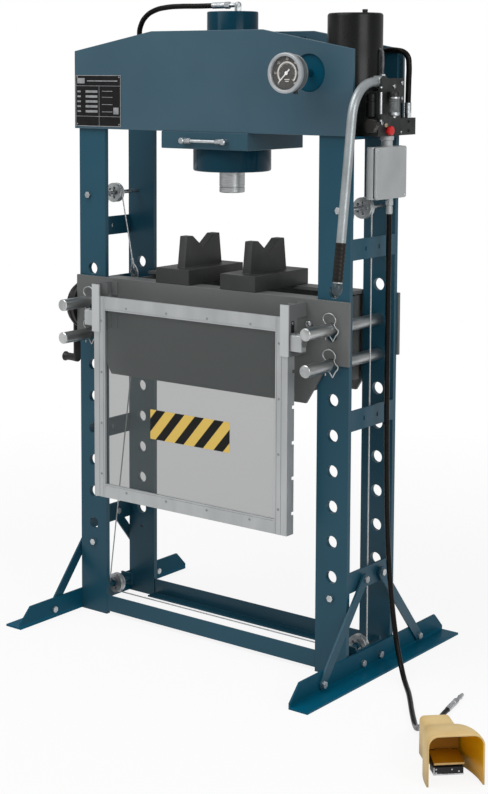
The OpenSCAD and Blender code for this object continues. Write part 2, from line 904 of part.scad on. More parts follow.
module oil_tank() {
    plug_d = 16;
    color(black) {
        difference() {
            translate([tank_x, tank_y, tank_z]) cylinder(h = tank_h, d = tank_d);
            translate([tank_x, tank_y, tank_z - 1])
                cylinder(h = tank_h - tank_wall + 1, d = tank_d - 2 * tank_wall);
        }
        translate([tank_x + tank_d / 5, tank_y, tank_z + tank_h]) cylinder(h = 10, d = plug_d);
    }
}

// Pump block with its tank seat, lever ear, side cheek and pivot pin, and the valve block behind it
module pump_body() {
    color(charcoal) {
        difference() {
            union() {
                block(pump_x0, step_x, pump_y0, pump_y1, pump_z, tank_z);
                block(step_x - 1, pump_x1, pump_y0, pump_y1, pump_z, step_z);
                translate([tank_x, tank_y, step_z]) cylinder(h = step_h, d = tank_d - 1);
                block(lever_x - ear_x - ear_t, lever_x - ear_x, pivot_y - ear_w / 2, pivot_y + ear_w / 2,
                    step_z - 1, pivot_z);
                bar_x(pivot_y, pivot_z, lever_x - ear_x - ear_t, lever_x - ear_x, ear_w);
                block(cheek_x - ear_t, cheek_x, cheek_y0, cheek_y1, cheek_z0, cheek_z1);
                bar_x(pivot_y, pivot_z, cheek_x - ear_t, cheek_x, ear_w);
                bar_x(pivot_y, pivot_z, lever_x - ear_x - ear_t, cheek_x, pivot_pin_d);
            }
            bar_y(knob_x, knob_z, pump_y0 - 1, pump_y0 + knob_stem_in + 1, knob_stem_d + 2 * run_gap);
            bar_x(button_y, button_z, pump_x1 - button_stem_l - button_travel - 1, pump_x1 + 1,
                button_stem_d + 2 * fit_gap);
        }
        block(valve_x0, valve_x1, pump_y1, valve_y1, pump_z, valve_top);
    }
}

// Small filter bowl on a head block at the pump's side cheek
module air_filter() {
    head_x = cheek_x + filter_d / 2 + 1;
    color(charcoal) {
        translate([head_x, filter_y, filter_z]) cylinder(h = filter_h, d = filter_d);
        block(cheek_x, head_x, filter_y - 10, filter_y + 10, filter_z + filter_h - filter_head_h,
            filter_z + filter_h);
    }
}

module release_knob() {
    knob_y = pump_y0 - knob_stem_l + knob_stem_in;
    color(black) {
        bar_y(knob_x, knob_z, knob_y - knob_l, knob_y, knob_d);
        bar_y(knob_x, knob_z, knob_y - 1, pump_y0 + knob_stem_in, knob_stem_d);
    }
}

// Bent steel tube with its pivot boss
module pump_lever() {
    color(steel)
    difference() {
        union() {
            bar_x(pivot_y, pivot_z, lever_x - lever_boss_w / 2, lever_x + lever_boss_w / 2, lever_boss_d);
            bar_y(lever_x, pivot_z, lever_bend_y, pivot_y - 10, lever_d);
            translate([lever_x, lever_bend_y, lever_bend_z]) rotate([0, -90, 180])
                rotate_extrude(angle = lever_turn) translate([lever_bend_r, 0]) circle(d = lever_d);
            translate([lever_x, run_y, run_z]) rotate([run_tilt, 0, 0])
                translate([0, 0, -lever_run - grip_socket]) cylinder(h = lever_run + grip_socket, d = lever_d);
        }
        bar_x(pivot_y, pivot_z, lever_x - lever_boss_w, lever_x + lever_boss_w, pivot_pin_d + 2 * run_gap);
    }
}

module lever_grip() {
    color(black)
    translate([lever_x, run_y, run_z]) rotate([run_tilt, 0, 0]) translate([0, 0, -lever_run - grip_l])
        difference() {
            union() {
                cylinder(h = grip_l, d = lever_grip_d);
                cylinder(h = 8, d = lever_grip_d + 5);
            }
            translate([0, 0, grip_l - grip_socket - fit_gap])
                cylinder(h = grip_socket + 1, d = lever_d + 2 * fit_gap);
        }
}

module switch_box() {
    color(box_grey) {
        block(box_x0, box_x1, box_y0, box_y1, box_top - box_h, box_top);
        translate([(box_x0 + box_x1) / 2, 0, box_top - 0.5]) cylinder(h = neck_h + 0.5, d = neck_d);
    }
}

module red_button() {
    face_x = pump_x1 + button_travel + slide_gap;
    color("red") {
        bar_x(button_y, button_z, face_x, face_x + button_l, button_d);
        bar_x(button_y, button_z, pump_x1 - button_stem_l, face_x + 1, button_stem_d);
    }
}

module hose_gland() {
    nut_h = gland_l / 2;
    color(black)
    translate([gland_x, gland_y, gland_z]) {
        cylinder(h = gland_l, d = gland_d - 4);
        translate([0, 0, gland_l - nut_h]) cylinder(h = nut_h, d = gland_d);
    }
}

// Rope lift

// Channel brackets on the feet with the bottom pulley axles
module pulley_brackets() {
    color(steel)
    both_sides() {
        difference() {
            union() {
                block(out_x - bracket_t, out_x, -bracket_y, bracket_y, bracket_back_z[0], bracket_back_z[1]);
                for (y0 = [-bracket_y, bracket_y - bracket_t])
                    block(bracket_x0, out_x - bracket_t + 1, y0, y0 + bracket_t,
                        bracket_cheek_z[0], bracket_cheek_z[1]);
            }
            for (s = [-1, 1])
                bar_x(s * foot_bolt_y[0], foot_bolt_z, out_x - bracket_t - 1, out_x + 1, bolt_hole_d);
        }
        bar_y(pulley_x, low_axle_z, -bracket_y - 4, bracket_y + 4, axle_d);
        for (s = [-1, 1])
            translate([pulley_x, s * (pulley_w / 2 + slide_gap + axle_collar_l / 2), low_axle_z])
                rotate([90, 0, 0]) cylinder(h = axle_collar_l, d = axle_collar_d, center = true);
    }
}

// Grooved rope wheel with round windows
module pulley(x, z) {
    half = pulley_w / 2;
    rim = pulley_d / 2;
    color(steel)
    translate([x, 0, z]) rotate([90, 0, 0])
        difference() {
            rotate_extrude()
                polygon([[pulley_bore / 2, -half], [rim, -half], [rim, -groove_rim],
                    [groove_r, -groove_half], [groove_r, groove_half], [rim, groove_rim],
                    [rim, half], [pulley_bore / 2, half]]);
            for (k = [0 : 4])
                rotate(72 * k) translate([pulley_window_r, 0, -half - 1])
                    cylinder(h = pulley_w + 2, d = pulley_window_d);
        }
}

module top_left_pulley() { pulley(-pulley_x, top_axle_z); }

module top_right_pulley() { pulley(pulley_x, top_axle_z); }

module bottom_left_pulley() { pulley(-pulley_x, low_axle_z); }

module bottom_right_pulley() { pulley(pulley_x, low_axle_z); }

// Angle, about a pulley, of the point where a straight rope from an outside point leaves it
function leave_angle(from, centre, turn) = let (v = from - centre)
    atan2(v[1], v[0]) + turn * acos(rope_r / norm(v));
function on_pulley(centre, angle) = centre + rope_r * [cos(angle), sin(angle)];
function in_space(p) = [p[0], 0, p[1]];
function wrap(centre, from, to, steps) = [for (i = [0 : steps])
    in_space(on_pulley(centre, from + (to - from) * i / steps))];

top_pulley = [pulley_x, top_axle_z];
low_pulley = [pulley_x, low_axle_z];
rope_gap = 0.8;
rope_top = [eye_x, eye_z + eye_r + eye_wire / 2 + rope_gap];
rope_low = [eye_x, low_eye_z - eye_r - eye_wire / 2 - rope_gap];
top_leave = leave_angle(rope_top, top_pulley, -1) + 360;
low_leave = leave_angle(rope_low, low_pulley, -1);
rope_across = [0, 1, 0];

// Runs from the top pulleys to the eyes on the table
module hanging_ropes() {
    color(steel)
    both_sides()
        tube([in_space(rope_top), in_space(on_pulley(top_pulley, top_leave))], rope_d, rope_across, 8);
}

// Run from the bottom left pulley up to the low eye on the table
module lower_rope() {
    color(steel) mirror([1, 0, 0])
        tube([in_space(on_pulley(low_pulley, low_leave)), in_space(rope_low)], rope_d, rope_across, 8);
}

// Levelling rope over three pulleys, and the winch rope from the drum over the top left pulley
module running_ropes() {
    drum_side = [-(out_x - 16), winch_y + rope_r, winch_z];
    left_low = [-low_pulley[0], low_pulley[1]];
    color(steel) {
        tube(concat(wrap(top_pulley, top_leave, 0, 16), wrap(low_pulley, 0, -90, 10),
            wrap(left_low, -90, -180 - low_leave, 10)), rope_d, rope_across, 8);
        tube(concat([for (p = wrap(top_pulley, top_leave, 0, 16)) [-p[0], p[1], p[2]]], [drum_side]),
            rope_d, rope_across, 8);
    }
}

module winch_gearbox() {
    x0 = winch_x - winch_l;
    color(black)
    difference() {
        bar_x(winch_y, winch_z, x0, winch_x, winch_d);
        bar_x(winch_y, winch_z, x0 + winch_wall, winch_x - winch_wall + 2, winch_d - 2 * winch_wall);
        bar_x(winch_y, winch_z, x0 - 1, x0 + winch_wall + 1, crank_shaft_d + 2 * run_gap);
        bar_x(winch_y, winch_z, winch_x - winch_wall, winch_x + 1, 2 * drum_shaft_d);
    }
}

// Rope drum on its shaft, with the driven gear inside the gearbox
module winch_drum() {
    gear_x = winch_x - winch_l / 2 - drum_gear_t / 2;
    color(steel) {
        bar_x(winch_y, winch_z, gear_x, drum_x1, drum_shaft_d);
        bar_x(winch_y, winch_z, gear_x, gear_x + drum_gear_t, 2 * drum_gear_r);
        bar_x(winch_y, winch_z, drum_x0, drum_x1, 2 * groove_r);
        for (x = [drum_x0, drum_x1 - drum_flange_t])
            bar_x(winch_y, winch_z, x, x + drum_flange_t, 2 * drum_flange_r);
    }
}

module winch_crank() {
    low_z = winch_z - crank_r;
    arm_x = crank_x - crank_arm_t;
    shaft_x1 = winch_x - winch_l / 2 - drum_gear_t / 2 - 2;
    color(black) {
        bar_x(winch_y, winch_z, arm_x, shaft_x1, crank_shaft_d);
        bar_x(winch_y, winch_z, arm_x, crank_x, crank_arm_w + 4);
        block(arm_x, crank_x, winch_y - crank_arm_w / 2, winch_y + crank_arm_w / 2, low_z, winch_z);
        bar_x(winch_y, low_z, arm_x, crank_x, crank_arm_w + 4);
        bar_x(winch_y, low_z, arm_x - crank_grip_l, arm_x + 1, crank_grip_d);
    }
}

// Table

// Bellied plate with slots over the upper pins, notches over the lower pins and a top flange
module table_plate() {
    color(table_grey)
    difference() {
        union() {
            plate_y([[-table_x, lower_pin_z], [-belly_end_x, lower_pin_z], [-belly_x, belly_z],
                [belly_x, belly_z], [belly_end_x, lower_pin_z], [table_x, lower_pin_z],
                [table_x, table_top], [-table_x, table_top]], -table_y1, -table_y0);
            block(-flange_x, flange_x, -table_y0 - 1, flange_d - table_y0, table_top - flange_t, table_top);
        }
        both_sides() {
            bar_y(hole_x, lower_pin_z, -table_y1 - 1, 1 - table_y0, hole_d);
            block(hole_x - hole_d / 2, hole_x + hole_d / 2, -table_y1 - 1, 1 - table_y0,
                lower_pin_z - table_lift - hole_d, lower_pin_z);
            bar_y(hole_x, upper_pin_z, -table_y1 - 1, 1 - table_y0, hole_d);
            bar_y(hole_x, upper_pin_z - table_lift, -table_y1 - 1, 1 - table_y0, hole_d);
            block(hole_x - hole_d / 2, hole_x + hole_d / 2, -table_y1 - 1, 1 - table_y0,
                upper_pin_z - table_lift, upper_pin_z);
        }
    }
}

module table_front_plate() { table_plate(); }

module table_rear_plate() { mirror([0, 1, 0]) table_plate(); }

// Round eye on a lug at the outer face of a spacer
module rope_eye(z, lug_z0, lug_z1) {
    block(spacer_x + spacer_t - 1, eye_x + eye_r / 2, -lug_w / 2, lug_w / 2, lug_z0, lug_z1);
    translate([eye_x, 0, z]) rotate([90, 0, 0])
        rotate_extrude() translate([eye_r, 0]) circle(d = eye_wire, $fn = 24);
}

// End plates between the table plates, with the rope eyes
module table_spacers() {
    color(table_grey) {
        both_sides() {
            block(spacer_x, spacer_x + spacer_t, -table_y0, table_y0, spacer_z0, spacer_z1);
            rope_eye(eye_z, spacer_z1 - lug_h, eye_z - eye_r + 2);
        }
        mirror([1, 0, 0]) rope_eye(low_eye_z, low_eye_z + eye_r - 2, low_eye_z + lug_h);
    }
}

module vee_blocks() {
    base_top = table_top + vee_base_h;
    vee_top = base_top + vee_h;
    color(charcoal)
    both_sides() {
        block(vee_x - vee_base_l / 2, vee_x + vee_base_l / 2, -table_y1, table_y1, table_top, base_top);
        plate_x([[-vee_len / 2, base_top], [vee_len / 2, base_top], [vee_top_len / 2, vee_top],
            [vee_half, vee_top], [0, vee_top - vee_depth], [-vee_half, vee_top],
            [-vee_top_len / 2, vee_top]], vee_x - vee_t / 2, vee_x + vee_t / 2);
    }
}

// Round cross-drilled bar with its wire clip in front of the table
module table_pin(side, z) {
    leg_low = pin_d / 2 + 8;
    color(steel) {
        difference() {
            bar_y(side * hole_x, z, -table_y1 - pin_front, table_y1 + pin_back, pin_d);
            translate([side * hole_x, clip_y, z - pin_d]) cylinder(h = 2 * pin_d, d = clip_wire + 2 * fit_gap);
        }
        translate([side * hole_x, clip_y, z - leg_low])
            cylinder(h = leg_low + clip_ring_z - clip_r, d = clip_wire);
        translate([side * hole_x, clip_y, z + clip_ring_z]) rotate([90, 0, 0])
            rotate_extrude() translate([clip_r, 0]) circle(d = clip_wire, $fn = 24);
    }
}

module left_upper_pin() { table_pin(-1, upper_pin_z); }

module left_lower_pin() { table_pin(-1, lower_pin_z); }

module right_upper_pin() { table_pin(1, upper_pin_z); }

module right_lower_pin() { table_pin(1, lower_pin_z); }

// Guard

// Folded guides that stand off the table on arms, each with a clamp and its knob
module guard_guides() {
    lip_x = guide_out - guide_lip;
    clamp_y = (guide_front + guide_back) / 2;
    clamp_z = guide_z0 + clamp_up;
    color(paint)
    both_sides() {
        block(guide_in, guide_out, guide_front - guide_t, guide_back + guide_t, guide_z0, guide_z1);
        block(lip_x, guide_out, guide_front - guide_t, guide_front, guide_z0, guide_z1);
        block(lip_x, guide_out, guide_back, guide_back + guide_t, guide_z0, guide_z1);
        for (arm = arm_h) {
            block(guide_in, guide_out, guide_back, -table_y1, arm[0], arm[0] + arm[1]);
            block(lip_x, guide_out, -table_y1 - guide_t, -table_y1, arm[0], arm[0] + arm[1]);
        }
        block(guide_out - 1, guide_out + clamp_l, clamp_y - clamp_d / 2, clamp_y + clamp_d / 2,
            clamp_z - clamp_h / 2, clamp_z + clamp_h / 2);
        bar_x(clamp_y, clamp_z, guide_out + clamp_l - 1, guide_out + clamp_l + clamp_knob_l, clamp_knob_d);
    }
}

// Flat frame with the notched rack behind its right stile
module guard_frame() {
    color(alloy) {
        difference() {
            block(-guard_x, guard_x, guard_front, guard_back, guard_z, guard_top);
            block(guard_bar - guard_x, guard_x - guard_bar, guard_front - 1, guard_back + 1,
                guard_z + guard_bar, guard_top - guard_bar);
        }
        difference() {
            block(guard_x - rack_t, guard_x, guard_back - 1, guard_back + rack_d, guard_z, guard_z + rack_len);
            for (k = [0 : rack_count - 1])
                block(guard_x - rack_t - 1, guard_x + 1, guard_back + rack_d - rack_notch,
                    guard_back + rack_d + 1, rack_first_z - k * rack_pitch - rack_notch / 2,
                    rack_first_z - k * rack_pitch + rack_notch / 2);
        }
    }
}

module guard_panel() {
    half = guard_x - guard_bar + panel_lap;
    low = guard_z + guard_bar - panel_lap;
    color([0.7, 0.74, 0.75, 0.35])
    block(-half, half, guard_back, guard_back + panel_t, low, guard_top - guard_bar + panel_lap);
}

// Foot pedal

module at_pedal() { translate(pedal_pos) rotate([0, 0, pedal_turn]) children(); }

// Arch outline, flat on the floor and round at its top corners
module arch(w, h, r) {
    translate([-w / 2, 0]) square([w, h - r]);
    for (s = [-1, 1]) translate([s * (w / 2 - r), h - r]) circle(r = r, $fn = 32);
    translate([r - w / 2, h - r - 0.1]) square([w - 2 * r, r + 0.1]);
}

module arch_slab(y0, y1, w, h, r) {
    translate([0, y1, 0]) rotate([90, 0, 0]) linear_extrude(y1 - y0) arch(w, h, r);
}

// Mouth, taper and rear block of the hood, drawn in by the wall on each side
module hood_form(inset, y0, y1) {
    taper_end = hood_mouth_l + hood_taper_l;
    arch_slab(y0, hood_mouth_l, hood_w - 2 * inset, hood_h - inset, hood_corner - inset);
    hull() {
        arch_slab(hood_mouth_l - 1, hood_mouth_l, hood_w - 2 * inset, hood_h - inset, hood_corner - inset);
        arch_slab(taper_end - 1, taper_end, hood_rear_w - 2 * inset, hood_rear_h - inset,
            hood_rear_corner - inset);
    }
    arch_slab(taper_end - 1, y1, hood_rear_w - 2 * inset, hood_rear_h - inset, hood_rear_corner - inset);
}

module pedal_hood() {
    color(ochre)
    at_pedal()
        difference() {
            hood_form(0, 0, hood_l);
            translate([0, 0, -0.01]) hood_form(hood_wall, -1, hood_inner_l);
            for (s = [-1, 1])
                bar_y(s * barb_x, barb_z, hood_inner_l - 5, hood_l + 1, barb_d + 4 * fit_gap);
        }
}

// Floor plate with the front body under the treadle, the valve block with its two hose barbs,
// and the treadle's hinge ears
module pedal_base() {
    ear_x = hinge_boss_w / 2 + slide_gap;
    color(charcoal)
    at_pedal() {
        plate_x([[front_y[0], 0], [front_y[1], 0], [front_y[1], front_z[1]], [front_y[0], front_z[0]]],
            -front_w / 2, front_w / 2);
        block(-base_w / 2, base_w / 2, base_y0, hood_inner_l, 0, base_t);
        block(-valve_w / 2, valve_w / 2, valve_y0, hood_inner_l, base_t - 1, valve_h);
        for (s = [-1, 1]) {
            bar_y(s * barb_x, barb_z, hood_inner_l - 2, barb_end, barb_d);
            block(s > 0 ? ear_x : -ear_x - ear_t, s > 0 ? ear_x + ear_t : -ear_x,
                hinge_y - hinge_boss_d / 2, valve_y0 + 1, base_t - 1, hinge_z + hinge_boss_d / 2);
        }
        bar_x(hinge_y, hinge_z, -ear_x - ear_t, ear_x + ear_t, hinge_d);
    }
}

// Foot plate on its hinge tube
module pedal_treadle() {
    neck = hinge_boss_w / 2 - 1;
    pad = treadle_w / 2;
    pad_y = -treadle_pad_end;
    root_y = 2 - hinge_boss_d / 2;
    color(charcoal)
    at_pedal()
        difference() {
            union() {
                bar_x(hinge_y, hinge_z, -hinge_boss_w / 2, hinge_boss_w / 2, hinge_boss_d);
                translate([0, hinge_y, hinge_z]) rotate([treadle_slope, 0, 0])
                    translate([0, 0, -treadle_t / 2]) linear_extrude(treadle_t)
                        polygon([[-pad, -treadle_l], [pad, -treadle_l], [pad, pad_y], [neck, pad_y],
                            [neck, root_y], [-neck, root_y], [-neck, pad_y], [-pad, pad_y]]);
            }
            bar_x(hinge_y, hinge_z, -hinge_boss_w, hinge_boss_w, hinge_d + 2 * run_gap);
        }
}

module pedal_hose() { color(black) tube(smooth_route(pedal_route), pedal_hose_d, [0.3, 1, 0.1]); }

module tail_hose() { color(black) tube(tail_route, tail_hose_d, [0, 0.2, 1]); }

// Barbed ferrule, hexagon and plug on the end of the tail hose
module air_nipple() {
    last = len(tail_route) - 1;
    along = unit(tail_route[last] - tail_route[last - 1]);
    color(steel)
    translate(tail_route[last]) rotate([0, 90, atan2(along[1], along[0])]) {
        cylinder(h = nipple_l * 0.4, d = nipple_d);
        translate([0, 0, nipple_l * 0.4 - 1]) cylinder(h = nipple_l * 0.2, d = nipple_d + 1, $fn = 6);
        translate([0, 0, nipple_l * 0.6 - 2]) cylinder(h = nipple_l * 0.4 + 2, d = nipple_d - 5);
        translate([0, 0, nipple_l * 0.78]) cylinder(h = nipple_l * 0.08, d = nipple_d - 2);
    }
}

left_uprights();
right_uprights();
beam_front_plate();
beam_rear_plate();
beam_webs();
cylinder_carrier();
side_straps();
left_foot();
right_foot();
foot_braces();
tie_angles();
frame_bolts();
cylinder_barrel();
cylinder_collar();
ram_rod();
ram_nose();
pressure_hose();
hose_fittings();
gauge_case();
gauge_bezel();
gauge_dial();
gauge_needle();
gauge_lens();
oil_tank();
pump_body();
air_filter();
release_knob();
pump_lever();
lever_grip();
switch_box();
red_button();
hose_gland();
pulley_brackets();
top_left_pulley();
top_right_pulley();
bottom_left_pulley();
bottom_right_pulley();
hanging_ropes();
lower_rope();
running_ropes();
winch_gearbox();
winch_drum();
winch_crank();
table_front_plate();
table_rear_plate();
table_spacers();
vee_blocks();
guard_guides();
guard_frame();
guard_panel();
left_upper_pin();
left_lower_pin();
right_upper_pin();
right_lower_pin();
pedal_hood();
pedal_base();
pedal_treadle();
pedal_hose();
tail_hose();
air_nipple();
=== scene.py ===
# Floor-standing hydraulic press with its pump, winch-lifted table, sliding guard and foot pedal.
# Pieces are in millimetres; the routes of pipes, the camera, the floor and the lights are in metres.
import json
import math

import bmesh
import bpy
from mathutils import Matrix, Vector

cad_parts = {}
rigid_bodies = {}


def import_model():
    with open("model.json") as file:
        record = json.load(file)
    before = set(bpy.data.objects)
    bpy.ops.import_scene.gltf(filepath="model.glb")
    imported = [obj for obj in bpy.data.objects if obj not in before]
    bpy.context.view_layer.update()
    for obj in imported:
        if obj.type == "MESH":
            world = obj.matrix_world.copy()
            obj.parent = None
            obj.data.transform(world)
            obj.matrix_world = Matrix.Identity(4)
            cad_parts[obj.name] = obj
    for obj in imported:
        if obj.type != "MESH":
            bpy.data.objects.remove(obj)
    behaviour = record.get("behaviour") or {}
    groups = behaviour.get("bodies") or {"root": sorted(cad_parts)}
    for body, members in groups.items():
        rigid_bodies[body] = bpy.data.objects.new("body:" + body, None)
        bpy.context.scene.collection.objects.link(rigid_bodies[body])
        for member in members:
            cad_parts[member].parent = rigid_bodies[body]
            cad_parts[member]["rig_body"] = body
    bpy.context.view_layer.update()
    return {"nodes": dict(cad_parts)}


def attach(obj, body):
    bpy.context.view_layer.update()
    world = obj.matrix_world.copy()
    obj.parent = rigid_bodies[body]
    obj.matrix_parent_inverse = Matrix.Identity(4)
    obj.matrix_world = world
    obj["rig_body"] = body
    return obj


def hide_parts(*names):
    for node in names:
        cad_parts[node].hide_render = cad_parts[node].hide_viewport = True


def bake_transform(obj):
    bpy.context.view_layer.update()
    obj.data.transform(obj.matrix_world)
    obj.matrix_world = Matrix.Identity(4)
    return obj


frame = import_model()
scene = bpy.context.scene
scene.view_settings.view_transform = "Standard"

# Camera: a long lens at head height, off to the right of the press and looking slightly down.
# Its shift keeps the uprights of the press nearly parallel in the picture.
camera_data = bpy.data.cameras.new("camera")
camera_data.lens = 74.92
camera_data.shift_x = 0.0903
camera_data.shift_y = -0.2093
camera = bpy.data.objects.new("camera", camera_data)
camera.location = (2.9254, -3.8874, 1.6956)
camera.rotation_euler = (math.radians(84.36), 0, math.radians(39.04))
scene.collection.objects.link(camera)
scene.camera = camera


# Pedal hose: black rubber air hose, pushed into the gland under the switch box.
# It hangs down beside the right uprights, turns on the floor and ends on the pedal's left barb.
def tint(red, green, blue):
    """Linear colour of a screen colour from 0 to 255."""
    return [v / 3295 if v < 11 else ((v / 255 + 0.055) / 1.055) ** 2.4 for v in (red, green, blue)]


def finish(name, colour, rough, metal=0.0, specular=0.5):
    """Principled material that the pattern functions link into."""
    mat = bpy.data.materials.new(name)
    mat.use_nodes = True
    shader = mat.node_tree.nodes["Principled BSDF"]
    shader.inputs["Base Color"].default_value = (*colour, 1)
    shader.inputs["Roughness"].default_value = rough
    shader.inputs["Metallic"].default_value = metal
    shader.inputs["Specular IOR Level"].default_value = specular
    return mat


def grain(mat, scale, detail=3.0, stretch=(1, 1, 1)):
    """Noise over a piece, drawn out along the axes by stretch."""
    tree = mat.node_tree
    coords = tree.nodes.new("ShaderNodeTexCoord")
    mapping = tree.nodes.new("ShaderNodeMapping")
    mapping.inputs["Scale"].default_value = stretch
    noise = tree.nodes.new("ShaderNodeTexNoise")
    noise.inputs["Scale"].default_value = scale
    noise.inputs["Detail"].default_value = detail
    tree.links.new(coords.outputs["Object"], mapping.inputs["Vector"])
    tree.links.new(mapping.outputs["Vector"], noise.inputs["Vector"])
    return noise.outputs["Fac"]


def mottle(mat, pattern, dark, light):
    """Base colour between two screen colours."""
    tree = mat.node_tree
    ramp = tree.nodes.new("ShaderNodeValToRGB")
    ramp.color_ramp.elements[0].position = 0.32
    ramp.color_ramp.elements[0].color = (*tint(*dark), 1)
    ramp.color_ramp.elements[1].position = 0.68
    ramp.color_ramp.elements[1].color = (*tint(*light), 1)
    tree.links.new(pattern, ramp.inputs["Fac"])
    tree.links.new(ramp.outputs["Color"], tree.nodes["Principled BSDF"].inputs["Base Color"])


def coat(name, dark, light, patches, rough, metal=0.0, specular=0.5):
    """Finish whose colour goes from dark to light in patches, given as the arguments of grain."""
    middle = [(d + b) / 2 for d, b in zip(dark, light)]
    mat = finish(name, tint(*middle), rough, metal, specular)
    mottle(mat, grain(mat, *patches), dark, light)
    return mat


def sheen(mat, low, high, *patches):
    """Roughness between two values in patches."""
    tree = mat.node_tree
    spread = tree.nodes.new("ShaderNodeMapRange")
    spread.inputs["From Min"].default_value = 0.3
    spread.inputs["From Max"].default_value = 0.7
    spread.inputs["To Min"].default_value = low
    spread.inputs["To Max"].default_value = high
    tree.links.new(grain(mat, *patches), spread.inputs["Value"])
    tree.links.new(spread.outputs["Result"], tree.nodes["Principled BSDF"].inputs["Roughness"])


def relief(mat, depth, strength, *patches):
    """Bump of the given depth in metres."""
    tree = mat.node_tree
    bump = tree.nodes.new("ShaderNodeBump")
    bump.inputs["Strength"].default_value = strength
    bump.inputs["Distance"].default_value = depth
    tree.links.new(grain(mat, *patches), bump.inputs["Height"])
    tree.links.new(bump.outputs["Normal"], tree.nodes["Principled BSDF"].inputs["Normal"])


def pipe(name, route, diameter, mat, body="frame", bend="AUTO"):
    """Round curve through the points of a route in metres."""
    data = bpy.data.curves.new(name, "CURVE")
    data.dimensions = "3D"
    data.bevel_depth = diameter / 2
    data.bevel_resolution = 5
    data.resolution_u = 6
    data.use_fill_caps = True
    line = data.splines.new("BEZIER")
    line.bezier_points.add(len(route) - 1)
    for point, place in zip(line.bezier_points, route):
        point.co = place
        point.handle_left_type = bend
        point.handle_right_type = bend
    data.materials.append(mat)
    obj = bpy.data.objects.new(name, data)
    scene.collection.objects.link(obj)
    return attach(obj, body)


rubber = coat("hose_rubber", (11, 11, 11), (19, 18, 17), (60,), 0.28, specular=0.12)
sheen(rubber, 0.22, 0.34, 35)
relief(rubber, 0.0003, 0.2, 900, 2)
hanging_hose = [(0.535, 0.008, z) for z in (1.295, 1.240, 1.150, 1.060, 0.970, 0.880, 0.790)]
pedal_hose = pipe("pedal_hose_rubber", hanging_hose + [
    (0.536, 0.008, 0.700), (0.537, 0.008, 0.610), (0.539, 0.008, 0.520), (0.542, 0.008, 0.430),
    (0.547, 0.008, 0.340), (0.554, 0.008, 0.260), (0.563, 0.007, 0.185), (0.575, 0.004, 0.120),
    (0.590, -0.004, 0.070), (0.609, -0.018, 0.035), (0.632, -0.042, 0.015), (0.660, -0.075, 0.008),
    (0.692, -0.116, 0.008), (0.726, -0.164, 0.008), (0.760, -0.214, 0.008), (0.794, -0.262, 0.008),
    (0.826, -0.305, 0.010), (0.854, -0.343, 0.024), (0.876, -0.366, 0.040), (0.895, -0.386, 0.0485),
    (0.905, -0.396, 0.050), (0.913, -0.404, 0.050)], 0.015, rubber)
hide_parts("pedal_hose")


# Tail hose: a short length of thinner air hose from the pedal's right barb, lying on the floor.
# Its plug is turned steel: a crimped ferrule, a hexagon and a coupling nipple with its groove.
def solid(name, form, mat, body="frame", edge=0.0, angle=35):
    """Object of a bmesh in millimetres, with its edges eased if edge is given."""
    bmesh.ops.remove_doubles(form, verts=form.verts, dist=0.001)
    bmesh.ops.recalc_face_normals(form, faces=form.faces)
    bmesh.ops.scale(form, vec=(0.001, 0.001, 0.001), verts=form.verts)
    mesh = bpy.data.meshes.new(name)
    form.to_mesh(mesh)
    form.free()
    return dressed(name, mesh, mat, body, edge, angle)


def dressed(name, mesh, mat, body, edge, angle=35):
    """Object of a finished mesh: smooth shading, material, eased edges, and the body it rides on."""
    mesh.materials.clear()
    mesh.materials.append(mat)
    mesh.shade_smooth()
    mesh.set_sharp_from_angle(angle=math.radians(angle))
    obj = bpy.data.objects.new(name, mesh)
    scene.collection.objects.link(obj)
    if edge:
        bevel = obj.modifiers.new("eased", "BEVEL")
        bevel.width = edge / 1000
        bevel.segments = 2
        bevel.limit_method = "ANGLE"
        bevel.angle_limit = math.radians(35)
        bevel.harden_normals = True
    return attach(obj, body)


def turned(name, profile, at, axis, mat, body="frame", steps=64, edge=0.0):
    """Lathe piece: profile pairs are radius and distance along the axis from the point at."""
    form = bmesh.new()
    spots = [form.verts.new((radius, 0, along)) for radius, along in profile]
    lines = [form.edges.new(pair) for pair in zip(spots, spots[1:])]
    bmesh.ops.spin(form, geom=spots + lines, cent=(0, 0, 0), axis=(0, 0, 1), angle=2 * math.pi,
                   steps=steps, use_merge=True)
    turn = Vector((0, 0, 1)).rotation_difference(Vector(axis)).to_matrix()
    bmesh.ops.rotate(form, cent=(0, 0, 0), matrix=turn, verts=form.verts)
    bmesh.ops.translate(form, vec=Vector(at), verts=form.verts)
    return solid(name, form, mat, body, edge, 30)


bright = coat("bright_steel", (172, 174, 176), (205, 206, 208), (25,), 0.3, 1.0)
sheen(bright, 0.24, 0.4, 60, 4)
relief(bright, 0.0002, 0.25, 500, 2)
tail_hose = pipe("tail_hose_rubber", [
    (0.9416, -0.3754, 0.050), (0.9336, -0.3674, 0.050), (0.925, -0.359, 0.0492), (0.908, -0.340, 0.045),
    (0.892, -0.318, 0.038), (0.877, -0.294, 0.029), (0.864, -0.267, 0.020), (0.853, -0.238, 0.013),
    (0.844, -0.208, 0.009), (0.837, -0.178, 0.008), (0.832, -0.150, 0.008)], 0.013, rubber)
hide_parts("tail_hose")
hose_end = (832, -150, 8)
nipple_dir = Vector((-5, 28, 0)).normalized()
ferrule = [(0, -4), (7.2, -4), (7.6, -2)]
for k in range(6):
    ferrule += [(7.6, 4 + 7 * k), (7.0, 5 + 7 * k), (7.0, 7 + 7 * k), (7.6, 8 + 7 * k)]
ferrule += [(7.6, 45), (6.4, 47), (0, 47)]
nipple = turned("air_nipple_ferrule", ferrule, hose_end, nipple_dir, bright)
nipple_nut = turned("air_nipple_nut", [(0, 46), (7.4, 46), (8.2, 47), (8.2, 69), (7.4, 70), (0, 70)],
                    hose_end, nipple_dir, bright, steps=6, edge=0.5)
